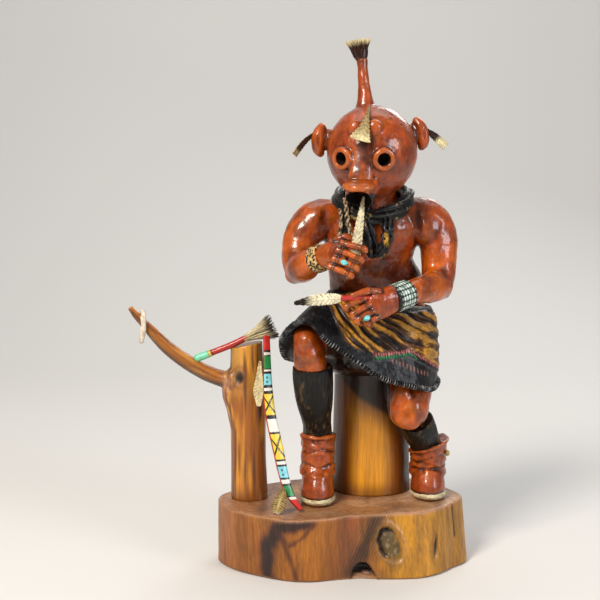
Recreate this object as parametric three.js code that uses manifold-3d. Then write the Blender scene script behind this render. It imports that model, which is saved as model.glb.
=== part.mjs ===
// A seated kachina doll, carved and painted wood, about 272 mm tall.
// A masked figure sits on a short log. Beside it stands a forked stump with a bow leaning on it,
// and both stand on a slab cut from a log. Millimetres, +Z up, the figure faces -Y.
// The origin is on the slab's underside, below its middle.
import * as THREE from "three";
import { mergeVertices } from "three/addons/utils/BufferGeometryUtils.js";
import Module from "manifold-3d";

const wasm = await Module();
wasm.setup();

// Driving sizes
const SLAB_WIDTH = 131;
const SLAB_DEPTH = 90;
const SLAB_HEIGHT = 33;
const SLAB_EDGE = 1.4; // worn corner round the top and the foot
const FIGURE_HEIGHT = 228; // boot soles to the end of the topknot, which carries a feather
const SEAT_RADIUS = 20;
const TRUNK_RADIUS = 9.4; // forked stump, at its foot
const TRUNK_HEIGHT = 81.5;
const TRUNK_CUT_TILT = 11; // degrees, the sawn top slopes up to the right
const BRANCH_RADIUS = 4.2;
const BOW_WIDTH = 5.4;
const BOW_THICKNESS = 3.4;
const STICK_RADIUS = 1.7; // painted prayer stick on the stump
const FEATHER_THICKNESS = 1.2;
const HANK_THICKNESS = 2.3; // white hank hung over the branch
const STONE_LENGTH = 3.4; // turquoise stones of the two finger rings
const FACET_TOLERANCE = 0.72; // facets flatter than this merge on the figure
const GAP = 0.3; // glue line left round whatever is set into or against the carving

// The figure keeps its proportions at any height: its carving is laid out at this height.
const LAYOUT_HEIGHT = 228;
const GROWTH = FIGURE_HEIGHT / LAYOUT_HEIGHT;
const SEAT_LEVEL = 65 * GROWTH;
const SEAT_PLACE = { x: 16.5 * GROWTH, y: 20.5 * GROWTH };
const TRUNK_PLACE = { x: -48.5, y: 0.5 };

const UP = new THREE.Vector3(0, 0, 1);
const ACROSS = new THREE.Vector3(1, 0, 0);

const paint = (color, roughness = 0.4, metalness = 0) =>
  new THREE.MeshStandardMaterial({ color, roughness, metalness });
const MATERIALS = {
  slab: paint(0x9a5a26, 0.5),
  log: paint(0xb97b25, 0.45),
  figure: paint(0x9c4318, 0.3),
  bow: paint(0xd9c23c, 0.5),
  stick: paint(0xb3301f, 0.5),
  feather: paint(0xc9b98c, 0.7),
  hank: paint(0xe6dccb, 0.7),
  stone: paint(0x58c2c4, 0.3),
};

// Every vertex moves to place(u, v), where u runs round the shape and v along it.
function warp(geometry, place) {
  const { position, uv } = geometry.attributes;
  for (let i = 0; i < position.count; i++) {
    const p = place(uv.getX(i), uv.getY(i));
    position.setXYZ(i, p.x, p.y, p.z);
  }
  return geometry;
}

function solid(geometry) {
  const bare = geometry.clone();
  for (const name of Object.keys(bare.attributes)) {
    if (name !== "position") bare.deleteAttribute(name);
  }
  const merged = mergeVertices(bare, 1e-4);
  const vertProperties = merged.attributes.position.array;
  const triVerts = new Uint32Array(merged.index.array);
  return new wasm.Manifold(new wasm.Mesh({ numProp: 3, vertProperties, triVerts }));
}

const join = (parts) => parts.reduce((whole, part) => whole.add(part));
const cut = (whole, tools) => tools.reduce((rest, tool) => rest.subtract(tool), whole);

// Fills the small pockets that are shut in between joined forms
const outerSkin = (body) => body.decompose().reduce((a, b) => (b.volume() > a.volume() ? b : a));

function toMesh(name, body, material) {
  const { numProp, numVert, vertProperties, triVerts } = body.getMesh();
  const points = new Float32Array(numVert * 3);
  for (let i = 0; i < numVert; i++) {
    points.set(vertProperties.subarray(i * numProp, i * numProp + 3), i * 3);
  }
  const geometry = new THREE.BufferGeometry();
  geometry.setAttribute("position", new THREE.BufferAttribute(points, 3));
  geometry.setIndex(new THREE.BufferAttribute(triVerts, 1));
  const mesh = new THREE.Mesh(geometry, material);
  mesh.name = name;
  return mesh;
}

// A rounded form along a smooth path. Each station is [x, y, z, half width, half thickness]:
// the width lies along `side`, and a dome closes each end. `boxy` squares the section.
function limb(stations, options = {}) {
  const { sides = 8, steps = 6, side = ACROSS, boxy = 1, dome = [0.9, 0.9], grow = 0 } = options;
  const domeRows = 2;
  const path = new THREE.CatmullRomCurve3(stations.map(([x, y, z]) => new THREE.Vector3(x, y, z)));
  const sizes = new THREE.CatmullRomCurve3(
    stations.map(([, , , width, thickness]) => new THREE.Vector3(width + grow, thickness + grow, 0)),
  );
  const rows = steps + 2 * domeRows;
  const square = (x) => Math.sign(x) * Math.abs(x) ** boxy;
  return solid(
    warp(new THREE.SphereGeometry(1, sides, rows), (u, v) => {
      const row = (1 - v) * rows;
      const t = THREE.MathUtils.clamp((row - domeRows) / steps, 0, 1);
      const inDome = Math.min(row, rows - row, domeRows) / domeRows;
      const swell = Math.sin((inDome * Math.PI) / 2);
      const end = row < domeRows ? -1 : 1;
      const size = sizes.getPoint(t);
      const tangent = path.getTangent(t);
      const wide = side.clone().addScaledVector(tangent, -side.dot(tangent)).normalize();
      const thick = tangent.clone().cross(wide);
      const reach = end * dome[end < 0 ? 0 : 1] * Math.min(size.x, size.y);
      const angle = u * 2 * Math.PI;
      return path
        .getPoint(t)
        .addScaledVector(tangent, reach * Math.cos((inDome * Math.PI) / 2))
        .addScaledVector(wide, -size.x * swell * square(Math.cos(angle)))
        .addScaledVector(thick, size.y * swell * square(Math.sin(angle)));
    }),
  );
}

// The same, laid out in the figure's own frame: boot soles at zero, at the layout height.
const toFigure = ([x, y, z, ...sizes]) => [
  x * GROWTH,
  y * GROWTH,
  z * GROWTH + SLAB_HEIGHT,
  ...sizes.map((size) => size * GROWTH),
];
const carve = (stations, options) => limb(stations.map(toFigure), options);

function ball(centre, radii, options = {}) {
  const { turn = [0, 0, 0], sides = 10, rows = 6 } = options;
  const [x, y, z] = toFigure(centre);
  const geometry = new THREE.SphereGeometry(1, sides, rows);
  geometry.rotateX(Math.PI / 2);
  geometry.scale(...radii.map((radius) => radius * GROWTH));
  geometry.rotateY(THREE.MathUtils.degToRad(turn[1]));
  geometry.rotateX(THREE.MathUtils.degToRad(turn[0]));
  geometry.rotateZ(THREE.MathUtils.degToRad(turn[2]));
  geometry.translate(x, y, z);
  return solid(geometry);
}

// A big block whose lower face is the cut, used to saw a piece off above `height`.
function sawAbove(height, tilt = 0, place = { x: 0, y: 0 }) {
  const size = 400;
  const block = new THREE.BoxGeometry(size, size, size);
  block.translate(0, 0, size / 2);
  block.rotateY(THREE.MathUtils.degToRad(-tilt));
  block.translate(place.x, place.y, height);
  return solid(block);
}

function sawBelow(height) {
  const size = 400;
  const block = new THREE.BoxGeometry(size, size, size);
  block.translate(0, 0, height - size / 2);
  return solid(block);
}

// Slab: a slice of log with a lobed outline, wider at its foot on the right.
// Both outlines are drawn on a slab 131 by 90 and follow its width and depth.
function slab() {
  const drawn = { width: 131, depth: 90 };
  const top = [
    [-65, 2], [-57, -22], [-42, -34.5], [-28, -43], [-16, -41.5], [-4, -37.5], [9, -33],
    [24, -29.5], [39, -27], [50, -20], [58, -9], [64.5, 5], [59, 20], [50, 33], [38, 43],
    [20, 47], [0, 45], [-22, 39], [-38, 30], [-55, 18],
  ];
  const foot = [
    [-65, -2], [-58, -18], [-42, -31], [-28, -38], [-17, -39.5], [-5, -36.5], [8, -34],
    [22, -35], [38, -34], [48, -28], [56, -19], [66, -5], [61, 19], [51, 33], [38, 43],
    [20, 47], [0, 45], [-22, 39], [-38, 30], [-55, 16],
  ];
  const outline = (points) =>
    new THREE.CatmullRomCurve3(
      points.map(
        ([x, y]) =>
          new THREE.Vector3((x * SLAB_WIDTH) / drawn.width, (y * SLAB_DEPTH) / drawn.depth, 0),
      ),
      true,
    );
  const [topCurve, footCurve] = [outline(top), outline(foot)];
  const inset = 1 - SLAB_EDGE / (SLAB_DEPTH / 2);
  const profile = [
    [0, 0], [inset, 0], [1, SLAB_EDGE], [1, SLAB_HEIGHT / 2],
    [1, SLAB_HEIGHT - SLAB_EDGE], [inset, SLAB_HEIGHT], [0, SLAB_HEIGHT],
  ];
  const lathe = new THREE.LatheGeometry(profile.map(([r, z]) => new THREE.Vector2(r, z)), 38);
  const body = solid(
    warp(lathe, (u, v) => {
      const [share, z] = profile[Math.round(v * (profile.length - 1))];
      const place = footCurve.getPoint(u).lerp(topCurve.getPoint(u), z / SLAB_HEIGHT);
      return place.multiplyScalar(share).setZ(z);
    }),
  );
  const hollow = (x, y, z, radii) => {
    const dish = new THREE.SphereGeometry(1, 14, 10);
    dish.scale(...radii);
    dish.translate((x * SLAB_WIDTH) / drawn.width, (y * SLAB_DEPTH) / drawn.depth, z);
    return solid(dish);
  };
  const rotPocket = hollow(10.5, -37, 0.5, [6, 9, 9]); // open at the foot
  const knot = hollow(25, -36.5, SLAB_HEIGHT / 2, [6, 4.5, 7]);
  return cut(body, [rotPocket, knot]);
}

// Log seat: a short peeled log, a little oval and waisted.
function seat(grow = 0) {
  const height = SEAT_LEVEL + grow;
  const stations = [
    [0, 1.02], [0.12, 1], [0.5, 0.97], [0.85, 0.95], [1, 0.95],
  ];
  const profile = [[0, 0], ...stations.map(([level, share]) => [share, level]), [0, 1]];
  const lathe = new THREE.LatheGeometry(profile.map(([r, z]) => new THREE.Vector2(r, z)), 22);
  return solid(
    warp(lathe, (u, v) => {
      const [share, level] = profile[Math.round(v * (profile.length - 1))];
      const angle = u * 2 * Math.PI;
      const oval = 1 + 0.03 * Math.cos(2 * angle) + 0.012 * Math.cos(3 * angle + 1);
      const radius = share * oval * (SEAT_RADIUS + grow);
      return new THREE.Vector3(
        SEAT_PLACE.x + (share ? radius * Math.cos(angle) : 0),
        SEAT_PLACE.y + (share ? radius * Math.sin(angle) : 0),
        SLAB_HEIGHT + level * height,
      );
    }),
  );
}

// Figure: torso and arms
const TORSO = [
  [24, 22, 70, 24, 18], [24, 20, 82, 27, 19], [24, 17, 96, 24.5, 17.5], [23, 12, 110, 22.8, 16.5],
  [20, 8, 126, 24.5, 16.5], [16.5, 5, 140, 26.5, 16], [15.5, 3, 148, 24, 12.8], [15, 0, 155, 15, 11],
  [14.5, -6, 166, 11, 10.5],
];
const RIGHT_UPPER_ARM = [
  [-4, 4.5, 147, 9.5, 9.5], [-13, 3.5, 146.5, 10, 10.8], [-20, 1.5, 139.5, 9.4, 10],
  [-22.5, -1.5, 131, 8.3, 8.8], [-23, -5, 125, 7.8, 8.2], [-22.5, -8, 121.5, 7.6, 7.4],
];
const RIGHT_FOREARM = [
  [-22.5, -8, 121.5, 7.6, 7.4], [-20, -15, 123, 8, 7.8], [-16, -22, 126, 7.2, 6.9],
  [-11, -28.5, 128.8, 5.8, 5.6],
];
const LEFT_UPPER_ARM = [
  [34, 5, 148, 10, 10], [43.8, 5, 146.5, 10.8, 11.3], [49.3, 4, 139, 10.4, 10.6],
  [50.4, 2, 129, 9.2, 9.6], [50, -1, 119, 8.3, 8.8], [49.5, -4.5, 113, 8.2, 7.8],
];
const LEFT_FOREARM = [
  [49.5, -4.5, 113, 8.2, 7.8], [45, -12, 112, 8, 7.6], [38, -20, 111.2, 7.2, 6.8],
  [29.5, -27.5, 110.3, 5.9, 5.6],
];
// Each finger: knuckle, middle joint, tip
const RIGHT_FINGERS = [
  [[-1.8, -40, 135.8], [8.8, -41.5, 133], [7.5, -36.5, 130.5]],
  [[-3.3, -40.5, 132], [7.2, -42, 128.2], [6, -37, 126]],
  [[-5.4, -40, 128.4], [5.2, -41.8, 124.6], [4.2, -37, 122.8]],
  [[-7.3, -38.5, 124.6], [2.8, -40.5, 121], [2, -36.5, 119.5]],
];
const LEFT_FINGERS = [
  [[8.5, -38, 108], [0.5, -40.5, 104.8], [3.5, -37, 101.5]],
  [[10.5, -39, 104.8], [3.6, -41, 101], [6.5, -37.5, 98]],
  [[13.5, -38.6, 101.6], [8, -40.5, 98.2], [10.5, -37, 95.8]],
  [[17, -37.5, 99.4], [13, -39.4, 96.4], [15, -36, 94.6]],
];
const FINGER = 2.05;

function hand(palm, fingers, thumb) {
  const finger = ([knuckle, joint, tip]) =>
    carve([[...knuckle, FINGER, FINGER], [...joint, FINGER, FINGER], [...tip, FINGER * 0.85, FINGER * 0.85]], {
      sides: 5,
      steps: 3,
      side: UP,
    });
  return [carve(palm, { side: UP, sides: 8, steps: 3 }), ...fingers.map(finger), finger(thumb)];
}

function arms() {
  const rightPalm = [
    [-11, -28.5, 128.8, 6, 5.4], [-6.5, -34, 129.8, 7.8, 4.9], [-2, -38, 129.6, 8.2, 4], [0, -39, 129, 7.2, 3.4],
  ];
  const leftPalm = [
    [29.5, -27.5, 110.3, 6, 5.4], [22.5, -33, 107.8, 8.2, 5], [16, -36.2, 104.8, 8.6, 4.2], [13.5, -37, 103.8, 7.8, 3.6],
  ];
  const rightThumb = [[-6, -35, 136], [0.5, -37.4, 139], [4.6, -38, 136.6]];
  const leftThumb = [[18, -36, 112.5], [10, -39.5, 112.8], [3.5, -40.5, 110.4]];
  return [
    carve(RIGHT_UPPER_ARM, { side: UP }),
    carve(RIGHT_FOREARM, { steps: 3, side: UP }),
    carve(LEFT_UPPER_ARM, { side: UP }),
    carve(LEFT_FOREARM, { steps: 3, side: UP }),
    ...hand(rightPalm, RIGHT_FINGERS, rightThumb),
    ...hand(leftPalm, LEFT_FINGERS, leftThumb),
  ];
}

// A cuff is a band round the wrist, from one point of the forearm to the next.
function cuffs() {
  const band = (from, to, radius) =>
    carve([[...from, radius, radius], [...to, radius * 0.97, radius * 0.97]], {
      sides: 10,
      steps: 1,
      dome: [0.06, 0.06],
    });
  return [band([-15.6, -22.6, 126.4], [-11, -28.6, 128.9], 7.4), band([34.6, -23.4, 111.6], [25, -30.8, 108.8], 7)];
}

// Figure: legs, stockings and boots
const RIGHT_THIGH = [
  [10, 16, 83, 14, 14], [-3, 1, 86.5, 13, 12.5], [-12, -12, 87, 11, 11.5], [-17.5, -20.5, 85.5, 9, 9.8],
];
const RIGHT_SHIN = [
  [-18.2, -22.5, 84.5, 8.8, 9.2], [-17.6, -22.5, 76, 9.2, 9.4], [-15.8, -19, 66.5, 10.3, 10.4],
  [-14.4, -14.5, 55, 9.2, 9.8], [-13, -9.5, 42, 7.2, 8], [-12.6, -7, 32, 6.5, 7],
];
const LEFT_THIGH = [
  [36, 16, 76, 15, 14], [36, 3, 70, 14.2, 13.5], [34, -9, 58.5, 12.6, 12], [33.2, -17, 49.5, 11, 10.8],
];
const LEFT_SHIN = [
  [36, -13, 46, 9, 9.4], [39, -9, 40, 8.8, 9], [42.6, -3.5, 33, 8.4, 8.6], [46, 2, 24, 7.4, 7.8],
];

// A boot: ankle at `x`, `y`, `height` tall, with a turned-down top, a fold at the ankle and a sole.
function boot({ x, y, height, lean, girth }) {
  const fold = height * 0.5;
  const leg = [
    [x, y, fold - 1.5, 9.9, 10.2], [x, y, fold + 2, 8.5, 9.2], [x, y + lean / 2, height * 0.78, 8.3, 9],
    [x + lean * 0.2, y + lean, height, 9.2, 9.6],
  ].map(([px, py, pz, width, depth]) => [px, py, pz, width * girth, depth * girth]);
  const foot = [
    [x, y + 7.5, 7, 6.8, 6.5], [x, y, 9, 8, 9.2], [x - 0.2, y - 9, 7, 8.9, 7.6], [x - 0.4, y - 14.5, 4.4, 8, 4.6],
  ];
  const sole = [
    [x, y + 9, 1, 6.6, 1.4], [x, y, 1, 7.6, 1.4], [x - 0.3, y - 9, 1.3, 9.1, 1.7], [x - 0.4, y - 15.5, 1.6, 7.4, 1.8],
  ];
  return [
    carve(leg, { sides: 10, steps: 4, dome: [0.1, 0.1] }),
    carve(foot, { sides: 10, steps: 3 }),
    carve(sole, { sides: 10, steps: 4, dome: [1, 1.2], boxy: 0.8 }),
  ];
}

function legs() {
  const shin = { steps: 5, sides: 10 };
  return [
    carve(RIGHT_THIGH, { steps: 3, sides: 10 }),
    carve(RIGHT_SHIN, shin),
    carve(LEFT_THIGH, { steps: 3, sides: 10 }),
    carve(LEFT_SHIN, shin),
    ...boot({ x: -12.4, y: -6, height: 35.5, lean: 0.6, girth: 0.97 }),
    ...boot({ x: 46, y: 5.4, height: 28.5, lean: 1.2, girth: 1.1 }),
  ];
}

// Kilt: a shell from the waist out over the thighs. The hem is drawn through the points it passes.
const KILT_THICKNESS = 2.4;
const KILT_WAIST = { x: 21.5, y: 13.5, z: 105, width: 26.3, depth: 20, rise: -0.19 };
const KILT_HEM = [
  [-29.5, -8, 76.7], [-30.4, -20, 86.3], [-26.5, -28, 93.7], [-20.8, -32, 97.5], [-15, -34, 95.4],
  [-9.5, -34, 88.5], [2.2, -33, 79.9], [16, -32, 70.3], [27.5, -30, 65.9], [38.3, -26, 62.7],
  [46, -15, 60.8], [50, 3, 62.5], [48, 24, 63], [41, 41, 62], [22, 46.5, 61], [0, 43, 63],
  [-16, 28, 67], [-25.5, 10, 72],
];

function kiltSurface(hem, u, s) {
  const end = hem.getPoint(u);
  const angle = Math.atan2(end.y - KILT_WAIST.y, end.x - KILT_WAIST.x);
  const start = new THREE.Vector3(KILT_WAIST.width * Math.cos(angle), KILT_WAIST.depth * Math.sin(angle), 0);
  start.z = KILT_WAIST.rise * start.x + KILT_WAIST.z;
  start.x += KILT_WAIST.x;
  start.y += KILT_WAIST.y;
  const front = Math.max(0, -Math.sin(angle));
  const folds = 0.55 * Math.sin(9 * angle) * s * (1 - 0.4 * s) * (1 - front * 0.4);
  const along = THREE.MathUtils.clamp(s, 0, 1) ** 0.8;
  const swell = (3.2 + 2.4 * front) * Math.sin(Math.PI * along) + folds;
  const place = start.lerp(end, s);
  place.x += Math.cos(angle) * swell * 0.7;
  place.y += Math.sin(angle) * swell * 0.5;
  place.z += swell * (0.35 + 0.65 * front);
  return place;
}

function kilt() {
  const hem = new THREE.CatmullRomCurve3(KILT_HEM.map((p) => new THREE.Vector3(...p)), true);
  const levels = [0, 0.34, 0.68, 1];
  const profile = [...levels.map((s) => [s, 0]), ...levels.toReversed().map((s) => [s, 1]), [0, 0]];
  const ring = profile.map(([s, layer]) => new THREE.Vector2(2 - layer, s));
  const step = 0.01;
  return solid(
    warp(new THREE.LatheGeometry(ring, 27), (u, v) => {
      const [s, layer] = profile[Math.round(v * (profile.length - 1))];
      const round = u % 1;
      const place = kiltSurface(hem, round, s);
      const down = kiltSurface(hem, round, s + step).sub(kiltSurface(hem, round, s - step));
      const along = kiltSurface(hem, (round + step) % 1, s);
      along.sub(kiltSurface(hem, (round + 1 - step) % 1, s));
      const inward = down.cross(along).normalize();
      const depth = layer * KILT_THICKNESS * (s === 0 ? 2.5 : 1);
      const [x, y, z] = toFigure(place.addScaledVector(inward, depth).toArray());
      return new THREE.Vector3(x, y, z);
    }),
  );
}

// Figure: mask, with its knobs, goggle eyes, snout and topknot
const MASK = { centre: [14.2, -15, 180.5], radii: [22.7, 22.3, 23.2] };
const SNOUT = [
  [10.2, -27, 168, 9.2, 8], [8.6, -33, 163.4, 8.4, 7], [7.2, -38, 159, 8.3, 6.8],
];
const EYES = [
  [-0.662, -0.733, -0.154],
  [0.19, -0.965, -0.18],
];

function onMask(direction, reach) {
  const out = new THREE.Vector3(...direction).normalize();
  return MASK.centre.map((c, i) => c + out.getComponent(i) * (MASK.radii[i] + reach));
}

function tube(from, to, radius, sides = 12) {
  return carve([[...from, radius, radius], [...to, radius, radius]], { sides, steps: 1, dome: [0.1, 0.12] });
}

function mask() {
  const brows = [
    ball([5.4, -33, 191.6], [3.8, 2.8, 3.8], { sides: 10, rows: 6 }),
    ball([14.2, -34, 191.4], [3.8, 2.8, 3.8], { sides: 10, rows: 6 }),
  ];
  const nose = carve([[8.6, -35.6, 186, 3, 2.4], [7.8, -37.6, 178, 4, 3], [8, -36.2, 170, 5.6, 3.8]], { steps: 3, sides: 8 });
  const rims = EYES.map((eye) => tube(onMask(eye, -2.5), onMask(eye, 2.2), 5.5));
  const knobs = [
    ball([-12.2, -10.5, 186.2], [3.3, 4.6, 7.4], { turn: [0, 16, 0] }),
    ball([40.2, -9, 188.6], [3.3, 4.6, 7], { turn: [0, -16, 0] }),
    ball([-8, -11, 187], [6, 3.6, 4.4], { sides: 8, rows: 6 }),
    ball([36, -10, 189], [6, 3.6, 4.4], { sides: 8, rows: 6 }),
  ];
  const topknot = carve(
    [[11, -12, 200, 5.6, 5.4], [10.6, -11.6, 206, 4.4, 4.4], [10, -11, 215.6, 3.1, 3.1], [9.3, -10.4, 226.4, 2.9, 2.7]],
    { sides: 10, steps: 5, dome: [0.3, 0.3] },
  );
  const head = ball(MASK.centre, MASK.radii, { sides: 18, rows: 12 });
  const whole = join([head, ...brows, nose, ...rims, ...knobs, topknot, carve(SNOUT, { sides: 12, steps: 3, dome: [0.5, 0.35] })]);
  const pupils = EYES.map((eye) => tube(onMask(eye, -1.5), onMask(eye, 6), 3.3, 10));
  const mouth = carve([[8.9, -32.4, 164, 5.4, 4.4], [7.2, -38.2, 158.6, 6.7, 5.4], [5.8, -43, 154.4, 7.4, 6]], { sides: 10, steps: 3 });
  return cut(whole, [...pupils, mouth]);
}

// Scarf: a roll of cloth round the neck, gathered under the chin, with one tail at the left
function scarf() {
  const roll = [
    [3, -24, 152, 3.6, 4.6], [-2, -13, 157, 4, 4.6], [1, 2, 160, 4, 5], [15, 8, 161, 4, 5],
    [29, 2, 160.5, 4, 5], [33.6, -9, 157.5, 3.8, 4.8], [28, -19.5, 151, 3.6, 5], [20, -25, 144, 3.4, 4.6],
  ];
  const strand = (stations) => carve(stations, { sides: 6, steps: 4 });
  return [
    carve(roll, { sides: 6, steps: 12, side: UP }),
    strand([[12, -20, 156, 9, 7], [12.5, -24, 147, 8.5, 6], [13, -24.5, 136, 8, 4], [14, -22, 128, 6.5, 3.4]]),
    strand([[24, -23.5, 148, 3.4, 3], [23.4, -27, 140, 3.6, 2.8], [21, -27.8, 133, 3, 2.4], [17.6, -27, 128.4, 2, 2]]),
    strand([[1, -22, 152, 3, 3.4], [0.6, -24.5, 143, 2.6, 2.6], [3.6, -25.5, 133, 2.4, 2.2]]),
  ];
}

// Where feathers and sticks are set, shared by the pieces and the sockets cut for them
const thin = FEATHER_THICKNESS / 2 / GROWTH;
const FEATHERS = {
  topknot_feather: {
    side: ACROSS,
    sides: 14,
    steps: 4,
    dome: [0.1, 0.12],
    stations: [[9, -10.2, 227.6, 2.9, 2.4], [8.4, -10.1, 230, 4.2, 2.6], [7.4, -10, 233, 5.5, 2.8], [6.9, -10, 236.6, 6.1, 3]],
  },
  forehead_feather: {
    side: ACROSS,
    stations: [
      [12, -18.5, 202.4, 0.8, thin], [11.8, -26, 201.2, 0.9, thin], [10.6, -33.5, 197.4, 2.2, thin],
      [9, -38.6, 191.6, 4, thin], [7.6, -41, 186.2, 5.2, thin],
    ],
  },
  right_knob_feather: {
    side: new THREE.Vector3(0.3, 1, 0).normalize(),
    stations: [[-12.5, -11, 189, 0.8, thin], [-18.5, -12, 185, 2.8, thin], [-24.2, -12.6, 177.8, 2.2, thin]],
  },
  left_knob_feather: {
    side: new THREE.Vector3(-0.3, 1, 0.25).normalize(),
    stations: [[41, -9.5, 191.5, 0.8, thin], [47.2, -10, 187.4, 2.8, thin], [52.8, -10.4, 181, 2.4, thin]],
  },
  hand_feather: {
    side: ACROSS,
    stations: [[4.8, -39, 128, 2.2, thin], [6, -41, 139, 2.6, thin], [7.4, -41.8, 149, 2, thin], [8.8, -40, 158.6, 0.5, thin]],
  },
  lap_feather: {
    side: UP,
    steps: 9,
    stations: [
      [14, -37.2, 109.2, 1.4, 1.4], [6, -38.8, 109.4, 1.4, 1.4], [-1.6, -41.4, 109.4, 1.5, 1.3],
      [-5, -42.4, 109.3, 2.5, thin], [-14, -43.6, 108.8, 2.7, thin], [-24.6, -44, 107.2, 0.7, thin],
    ],
  },
};

function featherOf({ stations, side, sides = 6, steps = 5, dome = [0.9, 0.9] }, grow = 0) {
  return carve(stations, { side, sides, steps, dome, grow });
}

const RING_STONES = {
  right_ring_stone: { centre: [-0.6, -43.9, 126.9], turn: [0, 20, 0] },
  left_ring_stone: { centre: [10.6, -42.6, 99.9], turn: [0, -32, 0] },
};

function stoneOf({ centre, turn }, grow = 0) {
  const half = STONE_LENGTH / 2 / GROWTH + grow;
  return ball(centre, [half, half * 0.55, half * 0.72], { turn, sides: 10, rows: 6 });
}

// The figure is carved in one: all its forms are joined, then seated and socketed.
function figure(bow) {
  const carved = join([
    carve(TORSO, { sides: 12, steps: 8 }),
    ...arms(),
    ...cuffs(),
    ...legs(),
    kilt(),
    mask(),
    ...scarf(),
  ]);
  const sockets = [
    ...Object.values(FEATHERS).map((feather) => featherOf(feather, GAP)),
    ...Object.values(RING_STONES).map((stone) => stoneOf(stone, GAP)),
  ];
  return cut(outerSkin(carved.simplify(FACET_TOLERANCE)), [sawBelow(SLAB_HEIGHT), seat(GAP), bow, ...sockets]);
}

// Forked stump: trunk with a swelling where the branch leaves it
const trunkAt = (level) => ({ x: TRUNK_PLACE.x - 1.3 * level, y: TRUNK_PLACE.y });
const BRANCH = [
  [-5, 0, 62, 1.25], [-15, -0.6, 63.6, 1.06], [-23.5, -1.4, 67.2, 1], [-32.8, -2.4, 72.8, 0.95],
  [-40.7, -3.2, 79, 0.88], [-47, -3.8, 85.1, 0.8], [-52.4, -4.2, 91.1, 0.68], [-57.2, -4.4, 96, 0.56],
  [-61, -4.5, 101, 0.42],
].map(([x, y, z, share]) => [
  TRUNK_PLACE.x + x,
  TRUNK_PLACE.y + y,
  SLAB_HEIGHT + TRUNK_HEIGHT - 81.5 + z,
  BRANCH_RADIUS * share,
  BRANCH_RADIUS * share,
]);

function forkedStump() {
  const trunk = [
    [-0.05, 1.01], [0.1, 1], [0.35, 0.97], [0.58, 0.98], [0.72, 1.02], [0.86, 0.92], [1.12, 0.88],
  ].map(([level, share]) => {
    const { x, y } = trunkAt(level);
    return [x, y, SLAB_HEIGHT + level * TRUNK_HEIGHT, TRUNK_RADIUS * share, TRUNK_RADIUS * share];
  });
  const joint = TRUNK_HEIGHT * 0.74 + SLAB_HEIGHT;
  const swelling = [
    [TRUNK_PLACE.x - 3, TRUNK_PLACE.y - 1, joint - 14, TRUNK_RADIUS * 0.75, TRUNK_RADIUS * 0.8],
    [TRUNK_PLACE.x - 6, TRUNK_PLACE.y - 1.5, joint - 2, TRUNK_RADIUS * 0.75, TRUNK_RADIUS * 0.82],
    [TRUNK_PLACE.x - 4, TRUNK_PLACE.y - 0.5, joint + 6, TRUNK_RADIUS * 0.6, TRUNK_RADIUS * 0.7],
  ];
  const whole = join([
    limb(trunk, { sides: 14, steps: 7 }),
    limb(swelling, { sides: 10, steps: 4 }),
    limb(BRANCH, { sides: 8, steps: 9, side: UP }),
  ]);
  const top = SLAB_HEIGHT + TRUNK_HEIGHT;
  const sawn = sawAbove(top, TRUNK_CUT_TILT, trunkAt(1)).intersect(trunkTopBlock(top));
  return cut(whole, [sawBelow(SLAB_HEIGHT), sawn]);
}

// Keeps the saw's cut to the trunk, so that it leaves the taller branch alone
function trunkTopBlock(top) {
  const reach = TRUNK_RADIUS * 1.5;
  const block = new THREE.BoxGeometry(2 * reach, 2 * reach, 60);
  block.translate(trunkAt(1).x, trunkAt(1).y, top + 20);
  return solid(block);
}

// Bow: leans on the right of the trunk, its foot on the slab in front of the right boot.
// Each station is a share of its height, then how far it is right and front of the trunk.
const BOW_HEIGHT = 86.5;
const BOW_LINE = [
  [1, 9.4, 7.2, 0.62], [0.83, 9.8, 10.9, 0.74], [0.69, 10.2, 14.1, 0.92], [0.55, 11.6, 17.4, 1],
  [0.36, 15.4, 21.8, 1], [0.2, 18.6, 25.4, 0.9], [0.09, 22.2, 28, 0.74], [0.02, 27, 30, 0.4],
];
const bowFace = new THREE.Vector3(0.97, 0.22, 0.06).normalize();

function bowStations() {
  return BOW_LINE.map(([level, right, front, share]) => [
    TRUNK_PLACE.x + right,
    TRUNK_PLACE.y - front,
    SLAB_HEIGHT + BOW_HEIGHT * level,
    (BOW_WIDTH / 2) * share,
    (BOW_THICKNESS / 2) * Math.max(0.7, share),
  ]);
}
const bowBody = (grow = 0) => limb(bowStations(), { sides: 8, steps: 10, side: bowFace, boxy: 0.7, dome: [0.4, 0.6], grow });
const bow = () => cut(bowBody(), [sawBelow(SLAB_HEIGHT)]);

// A feather that hangs by its quill from the bow, at a share of the bow's length
function hangingFeather(level, length, width, drop) {
  const line = new THREE.CatmullRomCurve3(bowStations().map(([x, y, z]) => new THREE.Vector3(x, y, z)));
  const tie = line.getPoint(level);
  const x = tie.x - BOW_WIDTH * 0.55 - 1.2;
  const y = tie.y - BOW_THICKNESS / 2 - FEATHER_THICKNESS;
  const shares = [[0, 0.16], [0.2, 0.7], [0.5, 1], [0.8, 0.85], [1, 0.25]];
  const stations = shares.map(([along, share]) => [
    x + drop.x * along,
    y + drop.y * along,
    tie.z - length * along,
    (width / 2) * share,
    FEATHER_THICKNESS / 2,
  ]);
  return cut(limb(stations, { sides: 8, steps: 6 }), [sawBelow(SLAB_HEIGHT), bowBody(GAP)]);
}

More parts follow.
